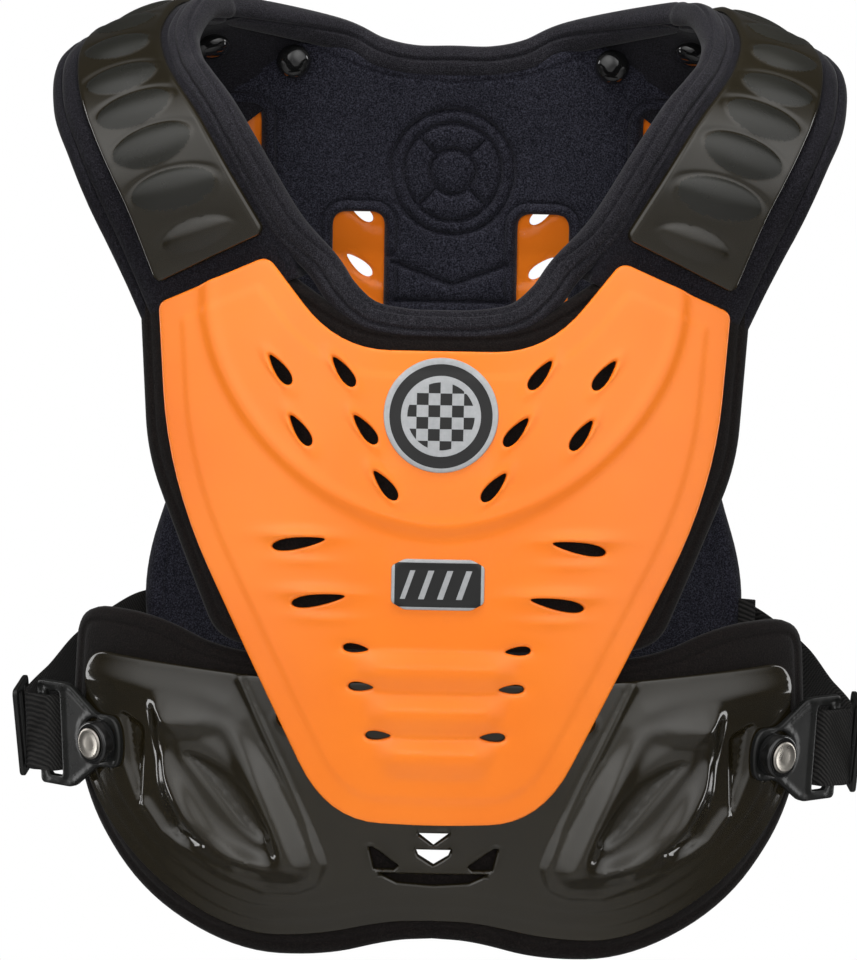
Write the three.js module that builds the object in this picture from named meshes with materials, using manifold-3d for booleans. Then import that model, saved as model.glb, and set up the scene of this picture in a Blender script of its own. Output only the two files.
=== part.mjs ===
// A motocross roost deflector: a chest plate and a belly plate over foam liners in front, a back plate over
// a foam liner behind, two shoulder arches with ribbed caps, a padded band round the neck and elastic side
// straps. Millimetres, +Z up, -Y is the wearer's front. The origin lies midway between the shoulder pads'
// undersides, at the top of the arches, where the protector rests on the wearer's shoulders.
import * as THREE from "three";
import { mergeVertices } from "three/addons/utils/BufferGeometryUtils.js";
import Module from "manifold-3d";

const wasm = await Module();
wasm.setup();

// Walls and gaps
const PLATE_WALL = 3; // moulded plastic shells
const LINER_WALL = 12; // chest and back liners
const BELLY_LINER_WALL = 10;
const PAD_WALL = 12; // shoulder pads
const BADGE_WALL = 0.8;
const CLEARANCE = 0.4; // between pieces that touch
const SHELL_GAP = 0.8; // between curved shells that lie on each other

// The wearer's torso, which every shell follows
const GARMENT_DROP = 435; // from the shoulder seat down to the lower rim
const TORSO_HALF_WIDTH = 198;
const FRONT_DEPTH = 125;
const BACK_DEPTH = 96;
const FRONT_CENTRE_Y = -20;
const BACK_CENTRE_Y = 10;

// Chest plate and the liner behind it
const CHEST_WIDTH = 278;
const CHEST_HEIGHT = 269;
const CHEST_TOP_DROP = 104; // from the seat down to the plate's neck corners
const CHEST_LINER_BORDER = 8; // liner that shows beside the plate
const LINER_SPLIT = 12; // from the chest liner's lower edge down to the belly plate
const BIB_RAISE = 1.6; // rounded bib over the chest
const RIB_RAISE = 2.2; // the cross ribs over the stomach

// Belly plate and its liner
const BELLY_WIDTH = 346;
const BELLY_HEIGHT = 116;
const BELLY_OVERLAP = 71; // how far the chest plate laps over the belly plate
const LOBE_RAISE = 9;

// Back plate and its liner
const BACK_LINER_WIDTH = 320;
const BACK_LINER_HEIGHT = 318;
const BACK_TOP_DROP = 7; // from the seat down to the back of the neck
const SPINE_RAISE = 3;
const SLOT_WIDTH = 28;
const SLOT_HEIGHT = 74;

// Shoulder arches
const ARCH_HALF_SPAN = 156; // from the middle to the widest point of an arch's centre line
const ARCH_FOOT_X = 110; // where an arch meets the chest liner
const ARCH_REAR_X = 112;
const ARCH_REAR_DROP = 20;
const ARCH_SINK = 3; // the pads lean outward, so their middles lie lower than the seat
const CAP_HALF_WIDTH = 27; // the ribbed cap
const PAD_OUTER_BORDER = 14; // pad that shows outside the cap
const BUMP_LENGTH = 44;
const BUMP_WIDTH = 17;
const BUMP_HEIGHT = 2.6;
const BUMP_COUNT = 7;

// Padded band round the neck
const BAND_WIDTH = 17;
const BAND_WALL = 14;
const BAND_STEPS = 60;

// Vents
const VENT_LENGTH = 17;
const VENT_WIDTH = 5.3;
const LOUVRE_LENGTH = 26;
const LOUVRE_WIDTH = 5;
const NOTCH_LENGTH = 12;
const NOTCH_WIDTH = 3.8;

// Badges
const ROUND_BADGE_RADIUS = 27;
const LOWER_BADGE_LENGTH = 44;
const LOWER_BADGE_HEIGHT = 24;

// Side straps and their fittings
const SNAP_X = 164;
const SNAP_DROP = 343;
const SNAP_RADIUS = 10.5;
const SNAP_HEIGHT = 7;
const SNAP_CAP_RADIUS = 7.8;
const SNAP_CAP_HEIGHT = 0.9;
const BRACKET_WALL = 3;
const BRACKET_END_RADIUS = 13;
const BRACKET_HEIGHT = 52;
const BRACKET_LENGTH = 47; // from the snap to the strap bar's outer edge
const STRAP_SLOT = 10;
const STRAP_BAR = 6.5;
const STRAP_WIDTH = 38;
const STRAP_WALL = 2;
const STRAP_BOW = 9; // how far a strap bows out round the wearer's side
const STRAP_LEAD = 26; // from a strap's end on the back liner to where it leaves it
const STRAP_LIP = 7; // how far a strap runs straight on past its bracket
const STRAP_STEPS = 26;
const BUCKLE_LENGTH = 22;
const BUCKLE_BAR = 3.6;
const BUCKLE_WALL = 2.6;
const KNOB_RADIUS = 9;
const LABEL_WIDTH = 10;
const LABEL_HEIGHT = 22;
const LABEL_WALL = 0.8;

// Fineness of the meshes
const GRID_STEP = 20;
const BELLY_STEP = 13;
const CURVE_SEGMENTS = 3;
const DROP_SIDES = 8;
const CROWN_RADIUS = 8000; // keeps a flat sheet's grid from merging while it is cut
const REACH = 60; // how far cutting prisms run past a sheet

// Torso sections: down is a share of the garment's drop, width and depth are shares of the torso's own
const FRONT_SECTIONS = [
  { down: 0.15, width: 0.91, depth: 0.7 },
  { down: 0.27, width: 0.93, depth: 0.81 },
  { down: 0.45, width: 0.96, depth: 0.93 },
  { down: 0.62, width: 1.0, depth: 0.99 },
  { down: 0.76, width: 1.0, depth: 1.0 },
  { down: 0.88, width: 0.965, depth: 0.98 },
  { down: 1.02, width: 0.9, depth: 0.92 },
];
const BACK_SECTIONS = [
  { down: -0.05, width: 0.94, depth: 0.8 },
  { down: 0.12, width: 0.96, depth: 0.96 },
  { down: 0.3, width: 0.97, depth: 1.04 },
  { down: 0.5, width: 0.96, depth: 0.98 },
  { down: 0.68, width: 0.96, depth: 0.9 },
  { down: 0.8, width: 0.96, depth: 0.92 },
];
const FRONT = { side: -1, centreY: FRONT_CENTRE_Y, depth: FRONT_DEPTH, sections: FRONT_SECTIONS };
const BACK = { side: 1, centreY: BACK_CENTRE_Y, depth: BACK_DEPTH, sections: BACK_SECTIONS };

// A table's column as a smooth curve through its rows
function alongTable(table, key, column, at) {
  const last = table.length - 1;
  if (at <= table[0][key]) return table[0][column];
  if (at >= table[last][key]) return table[last][column];
  const i = table.findIndex((row) => row[key] > at) - 1;
  const slope = (a, b) => (table[b][column] - table[a][column]) / (table[b][key] - table[a][key]);
  const span = table[i + 1][key] - table[i][key];
  const start = slope(Math.max(i - 1, 0), i + 1) * span;
  const end = slope(i, Math.min(i + 2, last)) * span;
  const t = (at - table[i][key]) / span;
  const rise = table[i + 1][column] - table[i][column];
  return (
    table[i][column] + start * t + (3 * rise - 2 * start - end) * t ** 2 + (start + end - 2 * rise) * t ** 3
  );
}

// Y of a torso surface at a place in the front view
function torsoY(torso, x, z) {
  const down = -z / GARMENT_DROP;
  const halfWidth = alongTable(torso.sections, "down", "width", down) * TORSO_HALF_WIDTH;
  const depth = alongTable(torso.sections, "down", "depth", down) * torso.depth;
  const share = Math.min(Math.abs(x) / halfWidth, 0.97);
  return torso.centreY + torso.side * depth * Math.sqrt(1 - share ** 2);
}

// Outward normal of a torso surface
function torsoNormal(torso, x, z) {
  const h = 0.5;
  const slopeX = (torsoY(torso, x + h, z) - torsoY(torso, x - h, z)) / (2 * h);
  const slopeZ = (torsoY(torso, x, z + h) - torsoY(torso, x, z - h)) / (2 * h);
  return new THREE.Vector3(-slopeX, 1, -slopeZ).normalize().multiplyScalar(torso.side);
}

// The point that stands off a torso surface by lift, at a place in the front view
function onTorso(torso, x, z, lift) {
  return new THREE.Vector3(x, torsoY(torso, x, z), z).addScaledVector(torsoNormal(torso, x, z), lift);
}

const smoothStep = (low, high, x) => THREE.MathUtils.smoothstep(x, low, high);

// Solids and meshes
function solidOf(geometry) {
  const bare = new THREE.BufferGeometry().setAttribute("position", geometry.getAttribute("position"));
  if (geometry.index) bare.setIndex(geometry.index);
  const merged = mergeVertices(bare, 1e-4);
  return new wasm.Manifold(
    new wasm.Mesh({
      numProp: 3,
      vertProperties: new Float32Array(merged.getAttribute("position").array),
      triVerts: new Uint32Array(merged.index.array),
    }),
  );
}

function geometryOf(solid) {
  const mesh = solid.getMesh();
  return new THREE.BufferGeometry()
    .setAttribute("position", new THREE.BufferAttribute(new Float32Array(mesh.vertProperties), 3))
    .setIndex(new THREE.BufferAttribute(new Uint32Array(mesh.triVerts), 1));
}

// The same body on the other side of the wearer
function mirrored(geometry) {
  const copy = geometry.clone().scale(-1, 1, 1);
  const index = copy.index.array;
  for (let i = 0; i < index.length; i += 3) [index[i + 1], index[i + 2]] = [index[i + 2], index[i + 1]];
  return copy;
}

// Outlines are drawn in the front view, x across and y up. Each corner is rounded over its own length.
function roundedShape(corners) {
  const shape = new THREE.Shape();
  const count = corners.length;
  corners.forEach((corner, i) => {
    const here = new THREE.Vector2(corner.x, corner.y);
    const before = new THREE.Vector2(corners[(i + count - 1) % count].x, corners[(i + count - 1) % count].y);
    const after = new THREE.Vector2(corners[(i + 1) % count].x, corners[(i + 1) % count].y);
    const inLength = Math.min(corner.round, here.distanceTo(before) * 0.499);
    const outLength = Math.min(corner.round, here.distanceTo(after) * 0.499);
    const start = here.clone().lerp(before, inLength / here.distanceTo(before));
    const end = here.clone().lerp(after, outLength / here.distanceTo(after));
    if (i === 0) shape.moveTo(start.x, start.y);
    else shape.lineTo(start.x, start.y);
    if (corner.round > 0) shape.quadraticCurveTo(here.x, here.y, end.x, end.y);
  });
  shape.closePath();
  return shape;
}

// A symmetric outline from its right-hand corners, listed from the top middle to the bottom middle
function symmetricShape(half, width, height, topZ) {
  const right = half.map((row) => ({
    x: row.across * (width / 2),
    y: topZ - row.down * height,
    round: row.round * width,
  }));
  const left = right
    .filter((corner) => corner.x > 0)
    .map((corner) => ({ ...corner, x: -corner.x }))
    .reverse();
  return roundedShape([...right, ...left].reverse());
}

// The outline moved outward by a distance, for borders, insets and clearances
function grownShape(shape, distance) {
  const apart = (p, i, all) => p.distanceTo(all[(i + 1) % all.length]) > 1e-3;
  const points = shape.getPoints(CURVE_SEGMENTS).filter(apart);
  const turn = THREE.ShapeUtils.isClockWise(points) ? 1 : -1;
  const count = points.length;
  const normalOf = (a, b) => new THREE.Vector2(a.y - b.y, b.x - a.x).normalize();
  return new THREE.Shape(
    points.map((p, i) => {
      const first = normalOf(points[(i + count - 1) % count], p);
      const second = normalOf(p, points[(i + 1) % count]);
      const middle = first.clone().add(second).normalize();
      const stretch = Math.min(1 / Math.max(middle.dot(first), 0.3), 1.6);
      return p.clone().addScaledVector(middle, turn * distance * stretch);
    }),
  );
}

// A drop-shaped hole: round at one end, pointed at the other, with the point along its tilt
function dropShape(x, z, length, width, tilt) {
  const points = [];
  for (let i = 0; i < DROP_SIDES; i++) {
    const angle = (2 * Math.PI * i) / DROP_SIDES;
    const along = (length / 2) * Math.cos(angle);
    const off = (width / 2) * Math.sin(angle) * (1.15 - 0.45 * Math.cos(angle));
    points.push(
      new THREE.Vector2(
        x + along * Math.cos(tilt) - off * Math.sin(tilt),
        z + along * Math.sin(tilt) + off * Math.cos(tilt),
      ),
    );
  }
  return new THREE.Shape(points);
}

function prismOf(shape) {
  const prism = new THREE.ExtrudeGeometry(shape, {
    depth: 2 * REACH,
    bevelEnabled: false,
    curveSegments: CURVE_SEGMENTS,
  });
  return solidOf(prism.translate(0, 0, -REACH));
}

// Grid lines at whole steps from low to high, where no extra line lies close by
function gridLines(low, high, step, extra = []) {
  const lines = [...extra];
  for (let i = Math.floor(low / step); i * step < high + step; i++)
    if (!extra.some((at) => Math.abs(at - i * step) < step / 3)) lines.push(i * step);
  return lines.sort((a, b) => a - b);
}

// A closed slab over a grid, between an outer and an inner height
function gridSlab(columns, rows, outer, inner) {
  const positions = [];
  const faces = [];
  const crown = (x, y) => (x ** 2 + y ** 2) / CROWN_RADIUS;
  for (const height of [outer, inner])
    for (const y of rows) for (const x of columns) positions.push(x, y, height(x, y) + crown(x, y));
  const wide = columns.length;
  const layer = wide * rows.length;
  const at = (i, j, k) => k * layer + j * wide + i;
  const quad = (a, b, c, d) => faces.push(a, b, c, a, c, d);
  for (let j = 0; j + 1 < rows.length; j++)
    for (let i = 0; i + 1 < wide; i++) {
      quad(at(i, j, 0), at(i + 1, j, 0), at(i + 1, j + 1, 0), at(i, j + 1, 0));
      quad(at(i, j, 1), at(i, j + 1, 1), at(i + 1, j + 1, 1), at(i + 1, j, 1));
    }
  const top = rows.length - 1;
  for (let i = 0; i + 1 < wide; i++) {
    quad(at(i, 0, 0), at(i, 0, 1), at(i + 1, 0, 1), at(i + 1, 0, 0));
    quad(at(i, top, 0), at(i + 1, top, 0), at(i + 1, top, 1), at(i, top, 1));
  }
  for (let j = 0; j + 1 < rows.length; j++) {
    quad(at(0, j, 0), at(0, j + 1, 0), at(0, j + 1, 1), at(0, j, 1));
    quad(at(wide - 1, j, 0), at(wide - 1, j, 1), at(wide - 1, j + 1, 1), at(wide - 1, j + 1, 0));
  }
  return new THREE.BufferGeometry()
    .setAttribute("position", new THREE.Float32BufferAttribute(positions, 3))
    .setIndex(faces);
}

// A shell that follows a torso surface: a slab is cut to its outline and holes while flat, and then bent
function bentSheet({ torso, outline, holes = [], outer, inner, step = GRID_STEP, extraRows = [] }) {
  const box = new THREE.Box2().setFromPoints(outline.getPoints(CURVE_SEGMENTS)).expandByScalar(2);
  const columns = gridLines(box.min.x, box.max.x, step);
  const rows = gridLines(box.min.y, box.max.y, step, extraRows);
  let flat = solidOf(gridSlab(columns, rows, outer, inner)).intersect(prismOf(outline));
  for (const hole of holes) flat = flat.subtract(prismOf(hole));
  return bend(geometryOf(flat), torso);
}

function bend(geometry, torso) {
  const position = geometry.getAttribute("position");
  for (let i = 0; i < position.count; i++) {
    const [x, y] = [position.getX(i), position.getY(i)];
    const lift = position.getZ(i) - (x ** 2 + y ** 2) / CROWN_RADIUS;
    const bent = onTorso(torso, -torso.side * x, y, lift);
    position.setXYZ(i, bent.x, bent.y, bent.z);
  }
  return geometry;
}

// A body through sections of equally many points, closed at its ends or joined into a ring. Each quad is
// split along its shorter diagonal, so that surfaces lying on each other bend alike.
function loft(sections, ring = false) {
  const size = sections[0].length;
  const points = sections.flat();
  const positions = points.flatMap((p) => [p.x, p.y, p.z]);
  const faces = [];
  const spans = ring ? sections.length : sections.length - 1;
  for (let s = 0; s < spans; s++)
    for (let i = 0; i < size; i++) {
      const next = (s + 1) % sections.length;
      const j = (i + 1) % size;
      const [a, b, c, d] = [s * size + i, s * size + j, next * size + j, next * size + i];
      const first = points[a].distanceTo(points[c]) <= points[b].distanceTo(points[d]);
      faces.push(...(first ? [a, b, c, a, c, d] : [a, b, d, b, c, d]));
    }
  if (!ring)
    for (let i = 1; i + 1 < size; i++) {
      const end = (sections.length - 1) * size;
      faces.push(0, i + 1, i, end, end + i, end + i + 1);
    }
  return new THREE.BufferGeometry()
    .setAttribute("position", new THREE.Float32BufferAttribute(positions, 3))
    .setIndex(faces);
}

// Levels, worked out from the driving sizes
const chestTopZ = -CHEST_TOP_DROP;
const chestBottomZ = chestTopZ - CHEST_HEIGHT;
const bellyTopZ = chestBottomZ + BELLY_OVERLAP;
const chestLinerHeight = CHEST_HEIGHT - BELLY_OVERLAP - LINER_SPLIT;
const backTopZ = -BACK_TOP_DROP;
const linerFace = -(PLATE_WALL + SHELL_GAP); // outer face of what lies behind a plate
const backWidth = BACK_LINER_WIDTH;
const backHeight = BACK_LINER_HEIGHT;

// Outlines as shares of each piece's own width and height, from the top middle to the bottom middle
const CHEST_OUTLINE = [
  { across: 0.0, down: 0.16, round: 0 },
  { across: 0.36, down: 0.16, round: 0.12 },
  { across: 0.61, down: 0.0, round: 0.02 },
  { across: 1.0, down: 0.09, round: 0.015 },
  { across: 0.95, down: 0.4, round: 0.17 },
  { across: 0.37, down: 0.995, round: 0.11 },
  { across: 0.0, down: 1.0, round: 0.05 },
];
const CHEST_LINER_OUTLINE = [
  { across: 0.0, down: 0.165, round: 0 },
  { across: 0.27, down: 0.165, round: 0.1 },
  { across: 0.53, down: 0.03, round: 0.01 },
  { across: 1.04, down: 0.12, round: 0.01 },
  { across: 1.0, down: 0.52, round: 0.06 },
  { across: 0.75, down: 0.97, round: 0.03 },
  { across: 0.66, down: 1.0, round: 0.03 },
  { across: 0.0, down: 1.0, round: 0 },
];
const BELLY_OUTLINE = [
  { across: 0.0, down: 0.02, round: 0 },
  { across: 0.5, down: 0.02, round: 0.05 },
  { across: 1.01, down: -0.03, round: 0.03 },
  { across: 1.01, down: 0.16, round: 0.04 },
  { across: 1.06, down: 0.36, round: 0.03 },
  { across: 1.0, down: 0.63, round: 0.06 },
  { across: 0.83, down: 0.92, round: 0.08 },
  { across: 0.56, down: 1.13, round: 0.09 },
  { across: 0.33, down: 1.11, round: 0.07 },
  { across: 0.13, down: 1.035, round: 0.06 },
  { across: 0.0, down: 1.03, round: 0 },
];
const BELLY_LINER_OUTLINE = [
  { across: 0.0, down: -0.08, round: 0 },
  { across: 0.62, down: -0.07, round: 0.06 },
  { across: 0.84, down: -0.21, round: 0.06 },
  { across: 1.08, down: -0.21, round: 0.05 },
  { across: 1.1, down: 0.3, round: 0.05 },
  { across: 1.05, down: 0.66, round: 0.06 },
  { across: 0.88, down: 1.01, round: 0.08 },
  { across: 0.58, down: 1.22, round: 0.1 },
  { across: 0.31, down: 1.21, round: 0.08 },
  { across: 0.12, down: 1.13, round: 0.06 },
  { across: 0.0, down: 1.12, round: 0 },
];
const BACK_LINER_OUTLINE = [
  { across: 0.0, down: 0.01, round: 0 },
  { across: 0.25, down: 0.0, round: 0.05 },
  { across: 0.44, down: -0.04, round: 0.03 },
  { across: 0.9, down: 0.05, round: 0.03 },
  { across: 0.88, down: 0.3, round: 0.1 },
  { across: 0.86, down: 0.62, round: 0.12 },
  { across: 1.0, down: 0.84, round: 0.08 },
  { across: 0.97, down: 0.98, round: 0.05 },
  { across: 0.45, down: 1.0, round: 0.05 },
  { across: 0.0, down: 1.02, round: 0.05 },
];
const BACK_PLATE_OUTLINE = [
  { across: 0.0, down: 0.06, round: 0 },
  { across: 0.3, down: 0.06, round: 0.05 },
  { across: 0.48, down: 0.02, round: 0.02 },
  { across: 0.83, down: 0.08, round: 0.03 },
  { across: 0.82, down: 0.32, round: 0.1 },
  { across: 0.66, down: 0.78, round: 0.1 },
  { across: 0.44, down: 0.97, round: 0.06 },
  { across: 0.0, down: 0.97, round: 0.05 },
];

const chestShape = symmetricShape(CHEST_OUTLINE, CHEST_WIDTH, CHEST_HEIGHT, chestTopZ);
const linerWidth = CHEST_WIDTH + 2 * CHEST_LINER_BORDER;
const chestLinerShape = symmetricShape(CHEST_LINER_OUTLINE, linerWidth, chestLinerHeight, chestTopZ);
const bellyShape = symmetricShape(BELLY_OUTLINE, BELLY_WIDTH, BELLY_HEIGHT, bellyTopZ);
const bellyLinerShape = symmetricShape(BELLY_LINER_OUTLINE, BELLY_WIDTH, BELLY_HEIGHT, bellyTopZ);
const backLinerShape = symmetricShape(BACK_LINER_OUTLINE, backWidth, backHeight, backTopZ);
const backPlateShape = symmetricShape(BACK_PLATE_OUTLINE, backWidth, backHeight, backTopZ);

// Holes on both sides of a piece, from shares of its half width and height; tilt is in degrees
function pairedDrops(table, width, height, topZ, length, thickness) {
  return table.flatMap(({ across, down, tilt }) => {
    const [x, z] = [across * (width / 2), topZ - down * height];
    const angle = THREE.MathUtils.degToRad(tilt);
    return [dropShape(x, z, length, thickness, angle), dropShape(-x, z, length, thickness, Math.PI - angle)];
  });
}

// Chest plate: drop vents on the bib, long louvres below it and notches at the ends of the cross ribs
const CHEST_VENTS = [
  { across: 0.336, down: 0.2, tilt: 52 },
  { across: 0.555, down: 0.2, tilt: 52 },
  { across: 0.257, down: 0.3, tilt: 50 },
  { across: 0.48, down: 0.305, tilt: 54 },
  { across: 0.185, down: 0.397, tilt: 50 },
];
const CHEST_LOUVRES = [
  { across: 0.482, down: 0.503, tilt: 170 },
  { across: 0.41, down: 0.602, tilt: 170 },
];
const CHEST_NOTCHES = [
  { across: 0.279, down: 0.685, tilt: 184 },
  { across: 0.259, down: 0.753, tilt: 182 },
  { across: 0.197, down: 0.839, tilt: 180 },
];
const BIB = { across: 0.835, top: 0.0743, reach: 0.405, power: 1.8 }; // shares of the chest plate
const RIBS = { top: 0.685, pitch: 0.0775, count: 3, across: 0.3, taper: 0.1 };

// The chest plate's relief: a raised bib and cross ribs over the stomach
function chestRelief(x, z) {
  const across = Math.abs(x) / (CHEST_WIDTH / 2);
  const down = (chestTopZ - z) / CHEST_HEIGHT;
  const below = Math.max(down - BIB.top, 0) / BIB.reach;
  const bibLevel = (across / BIB.across) ** BIB.power + below ** BIB.power;
  const bib = BIB_RAISE * (1 - smoothStep(0.85, 1.1, bibLevel));
  const row = (down - RIBS.top) / RIBS.pitch;
  const ribEnd = RIBS.across - RIBS.taper * (row / RIBS.count);
  const within = row > 0 && row < RIBS.count ? 1 - smoothStep(ribEnd - 0.08, ribEnd, across) : 0;
  return bib + RIB_RAISE * within * Math.sin(Math.PI * row) ** 2;
}

function chestPlate() {
  const size = [CHEST_WIDTH, CHEST_HEIGHT, chestTopZ];
  return bentSheet({
    torso: FRONT,
    outline: chestShape,
    holes: [
      ...pairedDrops(CHEST_VENTS, ...size, VENT_LENGTH, VENT_WIDTH),
      ...pairedDrops(CHEST_LOUVRES, ...size, LOUVRE_LENGTH, LOUVRE_WIDTH),
      ...pairedDrops(CHEST_NOTCHES, ...size, NOTCH_LENGTH, NOTCH_WIDTH),
    ],
    outer: (x, z) => chestRelief(x, z),
    inner: (x, z) => chestRelief(x, z) - PLATE_WALL,
    extraRows: Array.from(
      { length: 2 * RIBS.count + 1 },
      (_, i) => chestTopZ - (RIBS.top + (i * RIBS.pitch) / 2) * CHEST_HEIGHT,
    ),
  });
}

// Thin badges that lie on the chest plate
const BADGE_DOWN = 0.273;
const LOWER_BADGE_DOWN = 0.569;
const LOWER_BADGE_CORNERS = [
  { x: -0.5, y: -0.36 },
  { x: -0.36, y: -0.5 },
  { x: 0.36, y: -0.5 },
  { x: 0.5, y: -0.36 },
  { x: 0.5, y: 0.36 },
  { x: 0.36, y: 0.5 },
  { x: -0.36, y: 0.5 },
  { x: -0.5, y: 0.36 },
];

function badge(outline) {
  return bentSheet({
    torso: FRONT,
    outline,
    outer: (x, z) => chestRelief(x, z) + CLEARANCE + BADGE_WALL,
    inner: (x, z) => chestRelief(x, z) + CLEARANCE,
  });
}

function roundBadge() {
  const outline = new THREE.Shape();
  outline.absarc(0, chestTopZ - BADGE_DOWN * CHEST_HEIGHT, ROUND_BADGE_RADIUS, 0, 2 * Math.PI);
  return badge(new THREE.Shape(outline.getPoints(2 * CURVE_SEGMENTS * 3).slice(1)));
}

function lowerBadge() {
  const z = chestTopZ - LOWER_BADGE_DOWN * CHEST_HEIGHT;
  const corners = LOWER_BADGE_CORNERS.map(({ x, y }) => ({
    x: x * LOWER_BADGE_LENGTH,
    y: z + y * LOWER_BADGE_HEIGHT,
    round: 0,
  }));
  return badge(roundedShape(corners));
}

// The belly plate's relief: a raised lobe on each side with a wedge-shaped scoop in it, shares of the plate
const LOBE = [
  { across: 0.84, down: 0.1 },
  { across: 0.6, down: 0.16 },
  { across: 0.46, down: 0.36 },
  { across: 0.28, down: 0.8 },
  { across: 0.34, down: 0.93 },
  { across: 0.62, down: 0.9 },
  { across: 0.76, down: 0.66 },
];
const SCOOP = [
  { across: 0.72, down: 0.26 },
  { across: 0.55, down: 0.3 },
  { across: 0.36, down: 0.78 },
  { across: 0.48, down: 0.8 },
];
const LOBE_RIM = 14; // how wide a lobe's slopes are
const SCOOP_RIM = 9;
const SCOOP_SHARE = 0.6; // of the lobe's raise that the scoop takes away

// Distance inside a polygon given in shares of a piece, negative outside
function depthInside(corners, width, height, topZ, x, z) {
  const points = corners.map((c) => new THREE.Vector2(c.across * (width / 2), topZ - c.down * height));
  const here = new THREE.Vector2(x, z);
  let nearest = Infinity;
  let inside = false;
  points.forEach((a, i) => {
    const b = points[(i + 1) % points.length];
    const edge = b.clone().sub(a);
    const along = THREE.MathUtils.clamp(here.clone().sub(a).dot(edge) / edge.lengthSq(), 0, 1);
    nearest = Math.min(nearest, here.distanceTo(a.clone().addScaledVector(edge, along)));
    if (a.y > z !== b.y > z && x < a.x + ((z - a.y) / (b.y - a.y)) * (b.x - a.x)) inside = !inside;
  });
  return inside ? nearest : -nearest;
}

function bellyRelief(x, z) {
  const size = [BELLY_WIDTH, BELLY_HEIGHT, bellyTopZ];
  const lobe = smoothStep(0, LOBE_RIM, depthInside(LOBE, ...size, Math.abs(x), z));
  const scoop = smoothStep(0, SCOOP_RIM, depthInside(SCOOP, ...size, Math.abs(x), z));
  return LOBE_RAISE * lobe * (1 - SCOOP_SHARE * scoop);
}

// Small vents at the foot of the belly plate, corners as shares of the plate
const BELLY_VENTS = [
  [
    { across: -0.044, down: 0.65 },
    { across: 0.044, down: 0.65 },
    { across: 0, down: 0.7 },
  ],
  [
    { across: -0.049, down: 0.72 },
    { across: 0.049, down: 0.72 },
    { across: 0.042, down: 0.745 },
    { across: 0, down: 0.785 },
    { across: -0.042, down: 0.745 },
  ],
  [
    { across: -0.15, down: 0.825 },
    { across: 0.15, down: 0.825 },
    { across: 0.1, down: 0.86 },
    { across: 0, down: 0.87 },
    { across: -0.1, down: 0.86 },
  ],
];
const BELLY_SIDE_VENT = [
  { across: 0.1, down: 0.79 },
  { across: 0.17, down: 0.715 },
  { across: 0.18, down: 0.715 },
  { across: 0.165, down: 0.805 },
  { across: 0.11, down: 0.805 },
];
const BELLY_HOLE = { across: 0.415, down: 0.185, radius: 4.4 };

// The opening in the belly liner behind the middle vents
const LINER_VENT = [
  { across: -0.055, down: 0.63 },
  { across: 0.055, down: 0.63 },
  { across: 0.055, down: 0.75 },
  { across: 0, down: 0.8 },
  { across: -0.055, down: 0.75 },
];

function bellyPolygon(corners, side = 1) {
  return new THREE.Shape(
    corners.map(({ across, down }) => {
      const x = side * across * (BELLY_WIDTH / 2);
      return new THREE.Vector2(x, bellyTopZ - down * BELLY_HEIGHT);
    }),
  );
}

function bellyHoles() {
  const size = 2 * BELLY_HOLE.radius;
  const holeX = BELLY_HOLE.across * (BELLY_WIDTH / 2);
  const holeZ = bellyTopZ - BELLY_HOLE.down * BELLY_HEIGHT;
  return [
    ...BELLY_VENTS.map((corners) => bellyPolygon(corners)),
    ...[1, -1].flatMap((side) => [
      bellyPolygon(BELLY_SIDE_VENT, side),
      dropShape(side * holeX, holeZ, size, size, 0),
    ]),
  ];
}

function bellyPlate() {
  return bentSheet({
    torso: FRONT,
    outline: bellyShape,
    holes: bellyHoles(),
    outer: (x, z) => linerFace + bellyRelief(x, z),
    inner: (x, z) => linerFace - PLATE_WALL + bellyRelief(x, z),
    step: BELLY_STEP,
  });
}

function bellyLiner() {
  const face = linerFace - PLATE_WALL - SHELL_GAP;
  return bentSheet({
    torso: FRONT,
    outline: bellyLinerShape,
    holes: [bellyPolygon(LINER_VENT)],
    outer: () => face,
    inner: () => face - BELLY_LINER_WALL,
  });
}

// Back plate and liner
const BACK_VENTS = [
  { across: 0.3, down: 0.253, tilt: 40 },
  { across: 0.3, down: 0.343, tilt: 40 },
  { across: 0.3, down: 0.433, tilt: 40 },
  { across: 0.3, down: 0.523, tilt: 40 },
  { across: 0.55, down: 0.5, tilt: 40 },
  { across: 0.52, down: 0.6, tilt: 40 },
  { across: 0.3, down: 0.7, tilt: 40 },
];
const SLOTS = [
  { across: 0.31, down: 0.25, height: 1.3 },
  { across: 0.72, down: 0.075, height: 1.15 },
];

function backRelief(x, z) {
  const across = Math.abs(x) / (backWidth / 2);
  const down = (backTopZ - z) / backHeight;
  const spine = 1 - smoothStep(0.06, 0.2, across);
  return SPINE_RAISE * spine * smoothStep(0.06, 0.2, down) * (1 - smoothStep(0.82, 0.95, down));
}

function backPlate() {
  return bentSheet({
    torso: BACK,
    outline: backPlateShape,
    holes: pairedDrops(BACK_VENTS, backWidth, backHeight, backTopZ, VENT_LENGTH, VENT_WIDTH),
    outer: backRelief,
    inner: (x, z) => backRelief(x, z) - PLATE_WALL,
  });
}

// The back liner's long ventilation slots, two on each side
function slotShapes() {
  return SLOTS.flatMap(({ across, down, height }) =>
    [1, -1].map((side) => {
      const x = side * across * (backWidth / 2);
      const top = backTopZ - down * backHeight;
      const bottom = top - height * SLOT_HEIGHT;
      const corner = (dx, y) => ({ x: x + dx * (SLOT_WIDTH / 2), y, round: SLOT_WIDTH * 0.28 });
      return roundedShape([corner(-1, bottom), corner(1, bottom), corner(1, top), corner(-1, top)]);
    }),
  );
}

function backLiner() {
  return bentSheet({
    torso: BACK,
    outline: backLinerShape,
    holes: slotShapes(),
    outer: () => linerFace,
    inner: () => linerFace - LINER_WALL,
  });
}

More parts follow.
